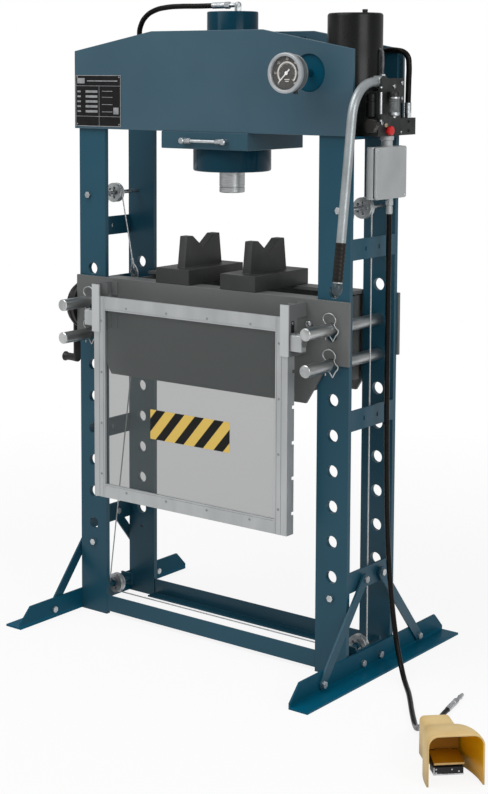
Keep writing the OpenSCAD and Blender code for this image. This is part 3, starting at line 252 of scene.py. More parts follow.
nipple_plug = turned("air_nipple_plug", [
    (0, 69), (5, 69), (5, 90), (5.6, 92), (6.4, 94), (6.4, 100), (5.6, 102), (4.4, 103), (4.4, 108),
    (5, 109), (5, 116), (4.2, 118), (2.6, 118), (2.6, 80), (0, 80)], hose_end, nipple_dir, bright)
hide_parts("air_nipple")


# Uprights: four hot-rolled flat bars on edge, drilled for the table pins at an even pitch.
# They are painted petrol blue; the paint is smooth with a faint orange peel.
def eased(node, mat, edge, angle=35):
    """Copy of a piece of the frame with its triangles merged into faces and its edges eased."""
    form = bmesh.new()
    form.from_mesh(frame["nodes"][node].data)
    bmesh.ops.remove_doubles(form, verts=form.verts, dist=1e-6)
    bmesh.ops.dissolve_limit(form, angle_limit=math.radians(0.6), verts=form.verts, edges=form.edges)
    mesh = bpy.data.meshes.new(node + "_finished")
    form.to_mesh(mesh)
    form.free()
    obj = dressed(node + "_finished", mesh, mat, frame["nodes"][node]["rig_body"], edge, angle)
    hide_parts(node)
    return obj


def painted(name, colour, spread, rough=0.34, specular=0.25):
    """Sprayed enamel: tone varies by the spread, with patches of gloss and a fine orange peel."""
    dark = [c - spread for c in colour]
    light = [c + spread for c in colour]
    mat = coat(name, dark, light, (2.2, 5), rough, specular=specular)
    sheen(mat, rough - 0.05, rough + 0.07, 9, 4)
    relief(mat, 0.0004, 0.18, 420, 2)
    return mat


blue = painted("frame_paint", (26, 69, 86), 4)
eased("left_uprights", blue, 1.5)
eased("right_uprights", blue, 1.5)

# Beam: two bellied plates welded to the outer faces of the uprights, with stiffeners, a head plate
# and the pump shelf between them. The front plate has a round hole behind the gauge.
# The beam plates take a lighter, greyer copy of the frame paint: painted light, where the overhead light
# falls on them.
lit_beam_blue = painted("beam_paint_lit", (52, 80, 94), 4, specular=0.35)
eased("beam_front_plate", lit_beam_blue, 1.5)
eased("beam_rear_plate", lit_beam_blue, 1.5)
# The webs inside the beam take a deeper, darker teal copy of the frame paint: painted shade for the inside
# of the beam.
eased("beam_webs", painted("inner_paint_shade", (6, 62, 82), 3, 0.4, 0.12), 1.0)


# Name plate: thin black-anodised sheet on the beam's left end, with a bright border and empty ruled
# fields, held by a rivet in each corner.
def slabs(name, boxes, mat, body="frame", edge=0.0, turn=Matrix()):
    """One piece of several boxes, each given by its low and high X, Y and Z in a turned frame."""
    form = bmesh.new()
    for x0, x1, y0, y1, z0, z1 in boxes:
        place = Matrix.Translation(((x0 + x1) / 2, (y0 + y1) / 2, (z0 + z1) / 2))
        size = Matrix.Diagonal((x1 - x0, y1 - y0, z1 - z0, 1))
        bmesh.ops.create_cube(form, size=1, matrix=turn @ place @ size)
    return solid(name, form, mat, body, edge)


anodised = coat("plate_black", (13, 12, 13), (23, 22, 23), (40,), 0.4, specular=0.2)
sheen(anodised, 0.34, 0.5, 60)
plate_line = coat("plate_line", (136, 138, 140), (164, 166, 168), (60,), 0.4, 0.5)
plate_left = -499
plate_right = -317
plate_low = 1518
plate_top = 1673
border_w = 2
inset = border_w + 0.1
border_y = (-134.3, -133.8)
field_y = (-134.2, -133.8)
slabs("name_plate", [(plate_left, plate_right, -133.9, -132.9, plate_low, plate_top)], anodised, edge=0.3)
rules = [(plate_left, plate_right, *border_y, z, z + border_w) for z in (plate_low, plate_top - border_w)]
rules += [(x, x + border_w, *border_y, plate_low + inset, plate_top - inset)
          for x in (plate_left, plate_right - border_w)]
rules += [(plate_left + inset, plate_right - inset, *field_y, z, z + 1.2) for z in (1548, 1640)]
rules += [(-404, -402.8, *field_y, z, z + d) for z, d in ((1520.1, 27.8), (1549.3, 90.6))]
for k in range(5):
    rules.append((-458, -410, *field_y, 1560 + 15 * k, 1567 + 15 * k))
    rules.append((-492, -478, *field_y, 1561 + 15 * k, 1566 + 15 * k))
rules += [(-492, -462, *field_y, 1648, 1664), (-452, -330, *field_y, 1654, 1657)]
rules += [(-392, -350, *field_y, z, z + 1.6) for z in (1562, 1584, 1606, 1624)]
rules += [(-346, -326, *field_y, 1556, 1576)]
slabs("name_plate_rules", rules, plate_line)
rear = (0, 1, 0)
rivet = [(0, -1.6), (1.4, -1.3), (2.2, -0.4), (2.3, 0.2), (0, 0.2)]
for n, (x, z) in enumerate(((-492, 1525), (-324, 1525), (-492, 1667), (-324, 1667))):
    turned(f"name_plate_rivet_{n}", rivet, (x, -134, z), rear, plate_line, steps=20)

# Cylinder: a painted barrel through the beam, held by a square carrier block under the beam and a
# round gland collar under the block. The paint on the turned pieces is darker and glossier.
up = (0, 0, 1)
press_axis = (0, 0, 0)
# The carrier block takes a lighter copy of the frame paint: painted light on it, as on the beam.
eased("cylinder_carrier", painted("carrier_paint_lit", (42, 73, 87), 3), 2.0)
deep = painted("cylinder_paint", (5, 50, 66), 3, 0.12, 0.1)
collar = turned("cylinder_collar_turned", [
    (37.6, 1461), (37.6, 1398), (40, 1394), (110, 1394), (113.4, 1395.4), (115, 1399), (115, 1459),
    (113, 1461), (37.6, 1461)], press_axis, up, deep, steps=128)
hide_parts("cylinder_collar")
barrel = turned("cylinder_barrel_turned", [
    (55, 1461), (75, 1461), (75, 1855), (74, 1857), (72, 1858), (0, 1858), (0, 1828), (55, 1828),
    (55, 1461)], press_axis, up, deep, steps=128)
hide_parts("cylinder_barrel")

# Ram: a ground and plated rod with a turned pressing pad below a fine groove.
# The piston end stays inside the barrel; the pad slides out of the collar.
ground = coat("ram_steel", (166, 169, 170), (200, 202, 203), (40, 4, (1, 1, 14)), 0.32, 1.0)
sheen(ground, 0.28, 0.42, 60, 4, (1, 1, 10))
relief(ground, 0.0002, 0.2, 300, 2, (1, 1, 12))
rod = turned("ram_rod_turned", [
    (0, 1701), (54.95, 1701), (54.95, 1661), (37.5, 1661), (37.5, 1348), (36.5, 1347), (0, 1347)],
    press_axis, up, ground, "ram", 96)
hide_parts("ram_rod")
nose = turned("ram_nose_turned", [
    (0, 1347), (35.5, 1347), (35.5, 1345.5), (37, 1345.5), (37.5, 1345), (37.5, 1332), (35.5, 1330),
    (0, 1330)], press_axis, up, ground, "ram", 96)
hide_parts("ram_nose")


# Straps, braces and floor ties: flat bar and angle in the frame paint, bolted and welded.
# The feet are heavy angles; each floor flange, below 12 mm, is painted a lighter, stronger teal than the
# standing one, as painted light where it faces up.
def reckon(tree, operation, *values):
    """Output of a math node; each value is a number or another node's output."""
    node = tree.nodes.new("ShaderNodeMath")
    node.operation = operation
    for socket, value in zip(node.inputs, values):
        if isinstance(value, (int, float)):
            socket.default_value = value
        else:
            tree.links.new(value, socket)
    return node.outputs["Value"]


def axes_of(tree):
    """X, Y and Z outputs of the place on a piece, in metres."""
    coords = tree.nodes.new("ShaderNodeTexCoord")
    parts = tree.nodes.new("ShaderNodeSeparateXYZ")
    tree.links.new(coords.outputs["Object"], parts.inputs["Vector"])
    return parts.outputs


def past(mat, axis, limit):
    """Pattern that is 1 past a limit in metres along one axis of a piece, and 0 before it."""
    return reckon(mat.node_tree, "GREATER_THAN", axes_of(mat.node_tree)[axis], limit)


for node in ("side_straps", "foot_braces", "tie_angles"):
    eased(node, blue, 1.2)
# Foot paint: below 12 mm the floor flange takes the lighter, stronger teal as painted light on the
# up-facing flange; the standing flange takes the darker tone.
teal = finish("foot_paint_lit_flange", tint(2, 79, 103), 0.4, specular=0.08)
mottle(teal, past(teal, "Z", 0.012), (2, 79, 103), (10, 69, 89))
sheen(teal, 0.35, 0.47, 9, 4)
relief(teal, 0.0004, 0.18, 420, 2)
for node in ("left_foot", "right_foot"):
    eased(node, teal, 1.2)

# Frame bolts: zinc-plated hexagon bolts; the ends of the top pulley axles are the same stock.
# The bolts hold the braces to the uprights, the feet to the uprights and the ties to both.
zinc = coat("bolt_zinc", (164, 169, 172), (204, 208, 210), (90, 4), 0.38, 1.0)
sheen(zinc, 0.3, 0.5, 120, 3)
eased("frame_bolts", zinc, 0.8)

# Pressure gauge: a plated bezel on a grey cup whose stem passes through the hole in the beam and is
# carried by its pipe. Dark dial with a light ring and figures, white pointer, flat glass.
# A plate in deep teal closes the hole behind it, as painted shade for the shaded inside of the beam, and a
# small plastic vent stands under the cup.
black = coat("black_plastic", (19, 19, 20), (32, 32, 33), (30,), 0.42, specular=0.35)
sheen(black, 0.34, 0.52, 45)
relief(black, 0.0003, 0.25, 700, 2)
rim = coat("gauge_rim", (158, 162, 165), (174, 178, 181), (30,), 0.34, 0.4)
sheen(rim, 0.28, 0.42, 50)
gauge_x = 360
gauge_z = 1681
gauge = (gauge_x, 0, gauge_z)
bezel = turned("gauge_bezel_turned", [
    (45, -245), (45.6, -248), (46.6, -249.4), (48, -250), (52, -250), (54, -249.2), (55, -247),
    (55, -236), (54, -234), (49, -234), (49, -245), (45, -245)], gauge, rear, rim, steps=96)
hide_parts("gauge_bezel")
case_grey = coat("gauge_case_grey", (84, 90, 92), (128, 134, 136), (14, 4, (1, 12, 1)), 0.4, 0.6)
sheen(case_grey, 0.32, 0.46, 60)
cup = turned("gauge_cup", [
    (44, -234), (50, -234), (50, -212), (51, -211), (51, -208), (49, -205), (46, -204), (0, -204),
    (0, -210), (44, -210), (44, -234)], gauge, rear, case_grey, steps=96)
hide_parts("gauge_case")
gauge_stem = turned("gauge_stem", [
    (0, -205), (13, -205), (13, -196), (11, -194), (11, -117), (0, -117)], gauge, rear, deep, steps=32)
gauge_vent = turned("gauge_vent", [(0, 0), (5, 0), (5, 3), (6.4, 3.6), (6.4, 8), (5, 9.4), (0, 9.4)],
                    (372, -212, 1634), (0, 0, -1), black, steps=24)
# The plate in the hole is painted shade: its deep teal stands in for the shaded inside of the beam.
port = painted("port_shade_paint", (2, 66, 86), 3, 0.45, 0.1)
port_plate = turned("gauge_port_shade_plate", [(0, -126), (52.2, -126), (52.2, -123.2), (0, -123.2)],
                    gauge, rear, port, steps=64)
face_dark = coat("dial_face", (44, 41, 38), (58, 55, 51), (120,), 0.6, specular=0.15)
dial = turned("gauge_dial_disc", [(0, -235.8), (48.6, -235.8), (48.6, -234.2), (0, -234.2)],
              gauge, rear, face_dark, steps=96)
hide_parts("gauge_dial")
print_light = coat("dial_print", (204, 200, 193), (226, 222, 216), (200,), 0.6)
print_y = -236
printed = bmesh.new()
ring = [printed.verts.new((r, 0, 0)) for r in (27.5, 31.5)]
bmesh.ops.spin(printed, geom=ring + [printed.edges.new(ring)], cent=(0, 0, 0), axis=rear,
               angle=math.radians(270), steps=90)
bmesh.ops.rotate(printed, cent=(0, 0, 0), matrix=Matrix.Rotation(math.radians(135), 3, "Y"),
                 verts=printed.verts)
for k in range(31):
    reach = 5 if k % 5 == 0 else 2.6
    turn = Matrix.Rotation(math.radians(135 + 9 * k), 4, "Y")
    mark = Matrix.Translation((27.6 - reach / 2, 0, 0)) @ Matrix.Diagonal((reach, 0.1, 0.9, 1))
    bmesh.ops.create_cube(printed, size=1, matrix=turn @ mark)
for z, width in ((-17, 17), (-22, 12)):
    bar = Matrix.Translation((0, 0, z)) @ Matrix.Diagonal((width, 0.1, 2, 1))
    bmesh.ops.create_cube(printed, size=1, matrix=bar)
bmesh.ops.translate(printed, vec=(gauge_x, print_y, gauge_z), verts=printed.verts)
for k in range(7):
    words = bpy.data.curves.new(f"gauge_figure_{k}", "FONT")
    words.body = str(k * 10)
    words.size = 9.5
    words.align_x = "CENTER"
    words.align_y = "CENTER"
    written = bpy.data.objects.new(f"gauge_figure_{k}", words)
    scene.collection.objects.link(written)
    shaped = written.evaluated_get(bpy.context.evaluated_depsgraph_get())
    figure = bpy.data.meshes.new_from_object(shaped)
    bpy.data.objects.remove(written)
    around = math.radians(225 - 45 * k)
    figure_x = gauge_x + 38.3 * math.cos(around)
    figure_z = gauge_z + 38.3 * math.sin(around)
    upright = Matrix.Rotation(math.pi / 2, 4, "X")
    figure.transform(Matrix.Translation((figure_x, print_y, figure_z)) @ upright)
    printed.from_mesh(figure)
solid("gauge_dial_print", printed, print_light)
pointer = coat("needle_white", (230, 230, 228), (246, 246, 244), (80,), 0.4)
eased("gauge_needle", pointer, 0.2)


def glazed(node, mat, alpha):
    """Clear material on a piece of the frame itself."""
    mat.node_tree.nodes["Principled BSDF"].inputs["Alpha"].default_value = alpha
    frame["nodes"][node].data.materials.clear()
    frame["nodes"][node].data.materials.append(mat)


glass = finish("gauge_glass", (0.9, 0.92, 0.92), 0.03)
sheen(glass, 0.02, 0.05, 20)
glazed("gauge_lens", glass, 0.03)

# Pressure hose: steel-braided rubber hose from an elbow on the cylinder cap, over the beam's left
# end, back through the beam behind the stiffeners and down to the valve block behind the pump.
# The link pipe under the beam and the gauge's own pipe are drawn steel tube in zinc plate.
left = (-1, 0, 0)
front = (0, -1, 0)


def stub(radius, start, stop, cut):
    """Profile of a round bar or nut with both ends chamfered by cut."""
    return [(0, start), (radius - cut, start), (radius, start + cut), (radius, stop - cut),
            (radius - cut, stop), (0, stop)]


pressure_hose = pipe("pressure_hose_rubber", [
    (-0.073, 0.000, 1.877), (-0.130, 0.000, 1.877), (-0.190, 0.000, 1.878), (-0.250, 0.000, 1.876),
    (-0.295, 0.000, 1.868), (-0.328, 0.000, 1.852), (-0.349, 0.000, 1.827), (-0.358, 0.002, 1.795),
    (-0.356, 0.010, 1.762), (-0.345, 0.026, 1.732), (-0.322, 0.048, 1.708), (-0.290, 0.070, 1.692),
    (-0.252, 0.086, 1.683), (-0.205, 0.095, 1.680), (-0.100, 0.098, 1.680), (0.000, 0.098, 1.680),
    (0.100, 0.098, 1.680), (0.200, 0.098, 1.680), (0.280, 0.098, 1.682), (0.330, 0.098, 1.690),
    (0.375, 0.098, 1.706), (0.415, 0.098, 1.726), (0.450, 0.098, 1.740), (0.480, 0.098, 1.744),
    (0.500, 0.100, 1.743), (0.518, 0.103, 1.738), (0.529, 0.106, 1.725), (0.532, 0.107, 1.705),
    (0.531, 0.108, 1.657), (0.530, 0.108, 1.597)], 0.016, rubber)
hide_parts("pressure_hose")
crimp = [(0, 0), (8, 0), (8.5, 1)]
for k in range(5):
    crimp += [(8.5, 5 + 8 * k), (7.9, 6 + 8 * k), (7.9, 9 + 8 * k), (8.5, 10 + 8 * k)]
crimp += [(8.5, 45), (7.6, 46), (0, 46)]
cap_crimp = [(r * 1.1, a) for r, a in crimp]
valve_crimp = [(r * 1.15, a * 0.62) for r, a in crimp]
hex_nut = stub(10.6, 0, 18, 1)
elbow_ball = [(0, -11), (6, -9.6), (9.2, -6), (10.4, 0), (9.2, 6), (6, 9.6), (0, 11)]
elbow_tube = [(0, -2), (6.5, -2), (6.5, 24), (0, 24)]
fittings = [
    turned("elbow_nut", hex_nut, (19, 0, 1857), up, zinc, steps=6, edge=0.6),
    turned("elbow_body", elbow_ball, (19, 0, 1876), up, zinc, steps=40),
    turned("elbow_swivel", hex_nut, (-9, 0, 1877), left, zinc, steps=6, edge=0.6),
    turned("elbow_neck", elbow_tube, (14, 0, 1877), left, zinc, steps=32),
    turned("cap_ferrule", cap_crimp, (-27, 0, 1877), left, zinc, steps=40),
    turned("valve_nut", hex_nut, (530, 108, 1554), up, zinc, steps=6, edge=0.6),
    turned("valve_ferrule", valve_crimp, (530, 108, 1570), up, zinc, steps=40),
]
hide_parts("hose_fittings")
banjo = [(0, 0), (8, 0), (8, 14), (9, 15), (9, 21), (7.5, 23), (0, 23)]
link_nut = [(r * 0.78, a * 1.3) for r, a in hex_nut]
for word, end, along in (("l", -68, 1), ("r", 82, -1)):
    fittings.append(turned(f"link_banjo_{word}", banjo, (end, -137, 1485), front, zinc, steps=40))
    fittings.append(turned(f"link_nut_{word}", link_nut, (end + 6 * along, -150, 1485), (along, 0, 0), zinc,
                           steps=6, edge=0.5))
fittings.append(pipe("link_pipe", [
    (-0.062, -0.150, 1.485), (0.007, -0.151, 1.485), (0.076, -0.150, 1.485)], 0.010, zinc))
fittings.append(pipe("gauge_pipe", [
    (0.013, -0.095, 1.681), (0.200, -0.095, 1.681), (0.340, -0.095, 1.681), (0.356, -0.099, 1.681),
    (0.360, -0.117, 1.681)], 0.010, zinc))

# Oil tank: a deep-drawn steel can on the pump, in black gloss, with a rolled edge and a filler plug.
# A level pipe in a bright fitting stands up its right side from the pump.
can = coat("tank_black", (11, 12, 12), (18, 19, 19), (6, 4), 0.28, specular=0.2)
sheen(can, 0.22, 0.34, 14, 4)
relief(can, 0.0004, 0.2, 380, 2)
tank = turned("oil_tank_can", [
    (74.5, 1645), (77.5, 1645), (77.5, 1650), (76.6, 1652), (76.6, 1838), (75, 1842.5), (71, 1845),
    (0, 1845), (0, 1842), (74.5, 1842), (74.5, 1645)], (430, -10, 0), up, can, steps=96)
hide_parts("oil_tank")
turned("filler_plug", [
    (0, 1844), (8, 1844), (8, 1847), (6, 1848), (7.6, 1849), (7.6, 1854), (6.6, 1855), (0, 1855)],
    (461, -10, 0), up, black, steps=32)
level_grey = coat("level_pipe_grey", (64, 67, 70), (86, 89, 92), (50,), 0.25)
sheen(level_grey, 0.2, 0.32, 60)
pipe("level_pipe", [
    (0.514, -0.002, 1.632), (0.514, -0.002, 1.680), (0.514, -0.002, 1.732), (0.512, -0.003, 1.742),
    (0.503, -0.004, 1.747)], 0.0085, level_grey)
turned("level_fitting", stub(9, 1668, 1678, 1), (514, -2, 0), up, bright, steps=6, edge=0.5)

# Pump: a cast block under the tank with the lever's ear and side cheek, and the valve block behind it.
# Plugs and screws are set in its faces, and a plunger and a bright guide rod stand on its front.
right = (1, 0, 0)
cast = coat("pump_casting", (26, 28, 28), (43, 45, 45), (18, 5), 0.5, specular=0.3)
sheen(cast, 0.4, 0.6, 40, 4)
relief(cast, 0.0008, 0.35, 260, 4)
eased("pump_body", cast, 1.5)
brass = coat("plug_brass", (176, 160, 138), (198, 184, 162), (60,), 0.4, 0.6)
plug = [(0, -2), (4, -2), (4, 2.4), (3.4, 3), (2.2, 3), (2.2, 1), (0, 1)]
for n, (at, axis, grow, mat) in enumerate((
        ((545, -54, 1546), right, 1.3, bright), ((541, -70, 1547), front, 0.8, zinc),
        ((508, -70, 1541), front, 0.8, zinc), ((420, -70, 1541), front, 0.8, zinc),
        ((545, -33, 1540), right, 1.5, brass), ((542, 52, 1519), right, 0.9, bright),
        ((542, 94, 1547), right, 1, black), ((542, 94, 1521), right, 1, black),
        ((549.5, 0, 1645), right, 1.4, bright), ((549.5, 41, 1654), right, 1.4, bright),
        ((549.5, 41, 1612), right, 1.2, zinc))):
    turned(f"pump_screw_{n}", [(r * grow, a * grow) for r, a in plug], at, axis, mat, steps=24)
rod_holders = [(544.6, 556, -73, -59, 1556, 1571), (544.6, 555.4, -72.6, -58, 1630, 1641)]
slabs("guide_rod_holders", rod_holders, cast, edge=1)
turned("guide_rod", stub(4.5, 1550, 1645, 1), (550, -66, 0), up, bright, steps=24)
turned("pump_plunger", [
    (0, 1563), (12.5, 1563), (13.5, 1564.5), (13.5, 1604), (12, 1606), (12, 1611), (13.5, 1613),
    (13.5, 1624), (12, 1626), (0, 1626)], (525, -74, 0), up, can, steps=48)

# Air filter: a small bowl of ribbed grey plastic under a black head that is screwed to the cheek.
# A bright ring clamps the bowl, and a drain cock closes its foot.
filter_at = (566, -24, 0)
bowl_grey = coat("filter_bowl", (84, 88, 89), (110, 114, 115), (40,), 0.35)
sheen(bowl_grey, 0.28, 0.42, 60)
bowl = [(0, 1574)]
for k in range(9):
    bowl += [(13.4, 1574 + 5 * k), (14.4, 1575.2 + 5 * k), (14.4, 1577.4 + 5 * k), (13.4, 1578.6 + 5 * k)]
bowl += [(13.4, 1619), (0, 1619)]
cap_form = [(0, 1617), (15.5, 1617), (15.5, 1628), (14, 1630.6), (0, 1631)]
ring_form = [(12, 1612), (15.2, 1612), (15.2, 1617.4), (12, 1617.4), (12, 1612)]
drain_form = [(0, 1560), (5, 1560), (5, 1564), (9, 1565), (15, 1568), (15, 1575), (0, 1575)]
cap = turned("filter_cap", cap_form, filter_at, up, black, steps=48)
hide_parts("air_filter")
for part in (
        cap, slabs("filter_head", [(549.4, 566, -34, -14, 1616, 1630.4)], black, edge=1),
        turned("filter_bowl", bowl, filter_at, up, bowl_grey, steps=48),
        turned("filter_ring", ring_form, filter_at, up, bright, steps=48),
        turned("filter_drain", drain_form, filter_at, up, zinc, steps=48)):
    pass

# Release knob and push button: a brown-black moulded knob with six lobes on the valve's spindle, and
# a red plastic button on the pump's right side that slides in its bore.
knob_brown = coat("knob_brown", (20, 19, 16), (34, 31, 27), (40,), 0.32, specular=0.4)
sheen(knob_brown, 0.26, 0.4, 60)
eased("release_knob", knob_brown, 1.5)
knob_body = frame["nodes"]["release_knob"]["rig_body"]
lobe = [(0, 1), (4.6, 1), (5.6, 2.4), (5.6, 17.6), (4.6, 19), (0, 19)]
lobe_r = 15.5
for k in range(6):
    around = math.radians(60 * k)
    at = (533 + lobe_r * math.cos(around), -96, 1540 + lobe_r * math.sin(around))
    turned(f"release_knob_lobe_{k}", lobe, at, rear, knob_brown, knob_body, 24)
red = coat("button_red", (182, 16, 17), (206, 28, 28), (60,), 0.35)
button = turned("red_button_cap", [
    (0, 533), (9.4, 533), (9.9, 533.6), (9.9, 549.3), (12.2, 549.3), (13, 550), (13, 556.4), (12, 558.6),
    (9.6, 559.3), (0, 559.3)], (0, -20, 1525), right, red, frame["nodes"]["red_button"]["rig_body"], 64)
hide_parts("red_button")

# Pump lever: bent steel tube on a cross pin between the ear and the cheek, with a dark moulded grip.
# It hooks forward over the pump and hangs down in front of the right uprights. The grip ends in a bright
# ring and a rounded knob, whose dark blue-grey is painted shade with a painted reflection of the uprights.
tube = coat("lever_steel", (142, 148, 150), (160, 166, 168), (18, 4), 0.36, 0.5)
sheen(tube, 0.3, 0.45, 50, 4)
lever_x = 530
pivot_z = 1657
bend_r = 105
lever_route = [(lever_x, -47, pivot_z), (lever_x, -60, pivot_z)]
for k in range(13):
    around = math.radians(82 * k / 12)
    drop = bend_r - bend_r * math.cos(around)
    lever_route.append((lever_x, -73 - bend_r * math.sin(around), pivot_z - drop))
run = Vector((0, -math.sin(math.radians(8)), -math.cos(math.radians(8))))
bend_end = Vector(lever_route[-1])
for far in (90, 200, 320, 430):
    lever_route.append(tuple(bend_end + run * far))
lever = pipe("pump_lever_tube", [[c / 1000 for c in p] for p in lever_route], 0.026, tube, "lever")
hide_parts("pump_lever")
boss_at = (lever_x, -45, pivot_z)
lever_boss = turned("pump_lever_boss", stub(17, -14, 14, 1.5), boss_at, right, tube, "lever", 48)
grip_mat = coat("grip_dark", (13, 12, 11), (24, 20, 17), (30,), 0.45, specular=0.25)
relief(grip_mat, 0.0004, 0.3, 500, 2)
grip_start = bend_end + run * 337
grip_form = [(13.02, 0), (13.8, 0), (14.4, 2)]
for k in range(8):
    grip_form += [(14.4, 9 + 11 * k), (13.9, 10.5 + 11 * k), (13.9, 12 + 11 * k), (14.4, 13.5 + 11 * k)]
grip_form += [(14.4, 102), (13.8, 104), (0, 104), (0, 101), (13.02, 101), (13.02, 0)]
grip = turned("lever_grip_moulded", grip_form, grip_start, run, grip_mat, "lever", 48)
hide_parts("lever_grip")
grip_ring = turned("lever_grip_ring", [
    (0, 103.6), (12.6, 103.6), (13.2, 104.4), (13.2, 107), (12.4, 108), (0, 108)],
    grip_start, run, bright, "lever", 48)
# The knob's dark blue-grey is painted shade with a painted reflection of the blue uprights.
end_shade_and_reflection = coat("grip_end_shade_and_reflection", (42, 53, 59), (58, 71, 77), (40,), 0.35, specular=0.3)
grip_end = turned("lever_grip_end", [
    (0, 107.4), (9, 107.4), (12.4, 110), (14.6, 116), (15, 123), (13.6, 131), (10, 137.4), (5, 140.6),
    (0, 141.4)], grip_start, run, end_shade_and_reflection, "lever", 48)


# Switch box: a pale grey alloy case with rounded edges and a screwed lid, hung under the pump by a
# round neck. The pedal hose enters through a gland in its floor.
def rounded(low, high, axis, radius):
    """Bmesh of a box between two corners, its edges along X, Y or Z rounded."""
    form = bmesh.new()
    low = Vector(low)
    high = Vector(high)
    size = Matrix.Diagonal((*(high - low), 1))
    bmesh.ops.create_cube(form, size=1, matrix=Matrix.Translation((low + high) / 2) @ size)
    way = "xyz".index(axis)
    lines = [e for e in form.edges if abs(e.verts[0].co[way] - e.verts[1].co[way]) > 0.001]
    bmesh.ops.bevel(form, geom=lines, offset=radius, segments=6, profile=0.5, affect="EDGES", material=-1)
    return form


alloy = coat("switch_alloy", (154, 158, 159), (170, 174, 175), (8, 4), 0.45, 0.2)
sheen(alloy, 0.38, 0.52, 30, 4)
relief(alloy, 0.0003, 0.2, 500, 2)
box_y0 = -80
box_y1 = 76
box_z0 = 1338
box_z1 = 1481
body_form = rounded((512, box_y0, box_z0), (538, box_y1, box_z1), "z", 9)
seal_form = rounded((537, box_y0 + 2, box_z0 + 2), (541, box_y1 - 2, box_z1 - 2), "x", 5)
lid_form = rounded((540, box_y0, box_z0), (548, box_y1, box_z1), "x", 7)
box_body = solid("switch_box_body", body_form, alloy, edge=1.5)
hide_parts("switch_box")
box_parts = [
    box_body,
    solid("switch_box_seal", seal_form, black),
    solid("switch_box_lid", lid_form, alloy, edge=2.4),
    turned("switch_box_neck", [
        (0, 1480), (17, 1480), (17, 1483), (15.6, 1485), (15.6, 1496), (17, 1498), (19, 1499),
        (19, 1509), (18, 1510), (0, 1510)], (530, 0, 0), up, alloy, steps=48),
]
lid_screw = [(0, 0), (3.6, 0), (3.6, 1), (2.6, 2), (0, 2.2)]
screw_in = 9
screw_y = (box_y0 + screw_in, box_y1 - screw_in)
screw_z = (box_z0 + screw_in, box_z1 - screw_in)
for n, (y, z) in enumerate([(y, z) for z in screw_z for y in screw_y]):
    box_parts.append(turned(f"switch_box_screw_{n}", lid_screw, (547.6, y, z), right, zinc, steps=20))
gland_at = (535, 8, 0)
gland_nut = stub(12, 1319, 1332, 1)
gland = turned("hose_gland_body", [
    (0, 1295), (8, 1295), (9.2, 1297), (9.2, 1314), (8.2, 1316), (8.2, 1318), (10, 1319), (10, 1338.2),
    (0, 1338.2)], gland_at, up, alloy, steps=40)
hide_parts("hose_gland")
box_parts += [gland, turned("hose_gland_nut", gland_nut, gland_at, up, alloy, steps=6, edge=0.5)]

# Pulleys: zinc-plated steel rope wheels with round windows, on axles through the uprights and in
# channel brackets on the feet.
plated = coat("pulley_zinc", (160, 164, 165), (204, 207, 208), (45, 4), 0.4, 0.9)
sheen(plated, 0.34, 0.54, 90, 4)
for node in ("top_left_pulley", "top_right_pulley", "bottom_left_pulley", "bottom_right_pulley"):
    eased(node, plated, 0.6)
eased("pulley_brackets", blue, 1.0)

# Ropes: thin galvanised wire rope, ending in pressed sleeves and thimbles at the eyes on the table.
# The upper runs to the table shorten as it rises, and the lower one lengthens.
wire = coat("wire_rope", (168, 170, 172), (208, 210, 212), (400, 2), 0.4, 0.5)
pulley_x = 457
top_z = 1308
low_z = 58
rope_r = 27


def straight(name, start, stop, mat):
    way = Vector(stop) - Vector(start)
    turn = Vector((0, 0, 1)).rotation_difference(way).to_matrix().to_4x4()
    form = bmesh.new()
    bmesh.ops.create_cone(form, cap_ends=True, segments=10, radius1=2, radius2=2, depth=way.length,
                          matrix=Matrix.Translation((Vector(start) + Vector(stop)) / 2) @ turn)
    sides = [e for e in form.edges if e.calc_length() > 20]
    bmesh.ops.subdivide_edges(form, edges=sides, cuts=11)
    bmesh.ops.scale(form, vec=(0.001, 0.001, 0.001), verts=form.verts)
    mesh = bpy.data.meshes.new(name)
    form.to_mesh(mesh)
    form.free()
    mesh.materials.append(mat)
    mesh.shade_smooth()
    mesh.set_sharp_from_angle(angle=math.radians(60))
    obj = bpy.data.objects.new(name, mesh)
    scene.collection.objects.link(obj)
    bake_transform(obj)
    return obj


def wrap(x, z, start, stop, steps):
    """Points in metres of the rope round a pulley."""
    turns = [math.radians(start + (stop - start) * i / steps) for i in range(steps + 1)]
    return [((x + rope_r * math.cos(t)) / 1000, 0, (z + rope_r * math.sin(t)) / 1000) for t in turns]


sleeve = [
    (2, 0), (3.6, 0), (4, 0.6), (4, 7), (3.4, 8), (3.4, 10), (4, 11), (4, 17.4), (3.6, 18), (2, 18), (2, 0)]
thimble = [
    (0, 18), (-6, 9), (-11, -2), (-13, -12), (-11, -23), (-6, -30), (0, -33), (6, -30), (11, -23),
    (13, -12), (11, -2), (6, 9), (0, 18)]


def rope_end(word, end, far):
    """Thimble round an eye on the table, with the sleeve that closes it, on the rope's own line."""
    way = (Vector(far) - Vector(end)).normalized()
    across = Vector((way.z, 0, -way.x))
    route = [(Vector(end) + a * across + b * way) / 1000 for a, b in thimble]
    pipe(f"rope_thimble_{word}", route, 0.005, zinc, "table")
    pressed = turned(f"rope_sleeve_{word}", sleeve, Vector(end) + 14 * way, way, zinc, "table", 24)


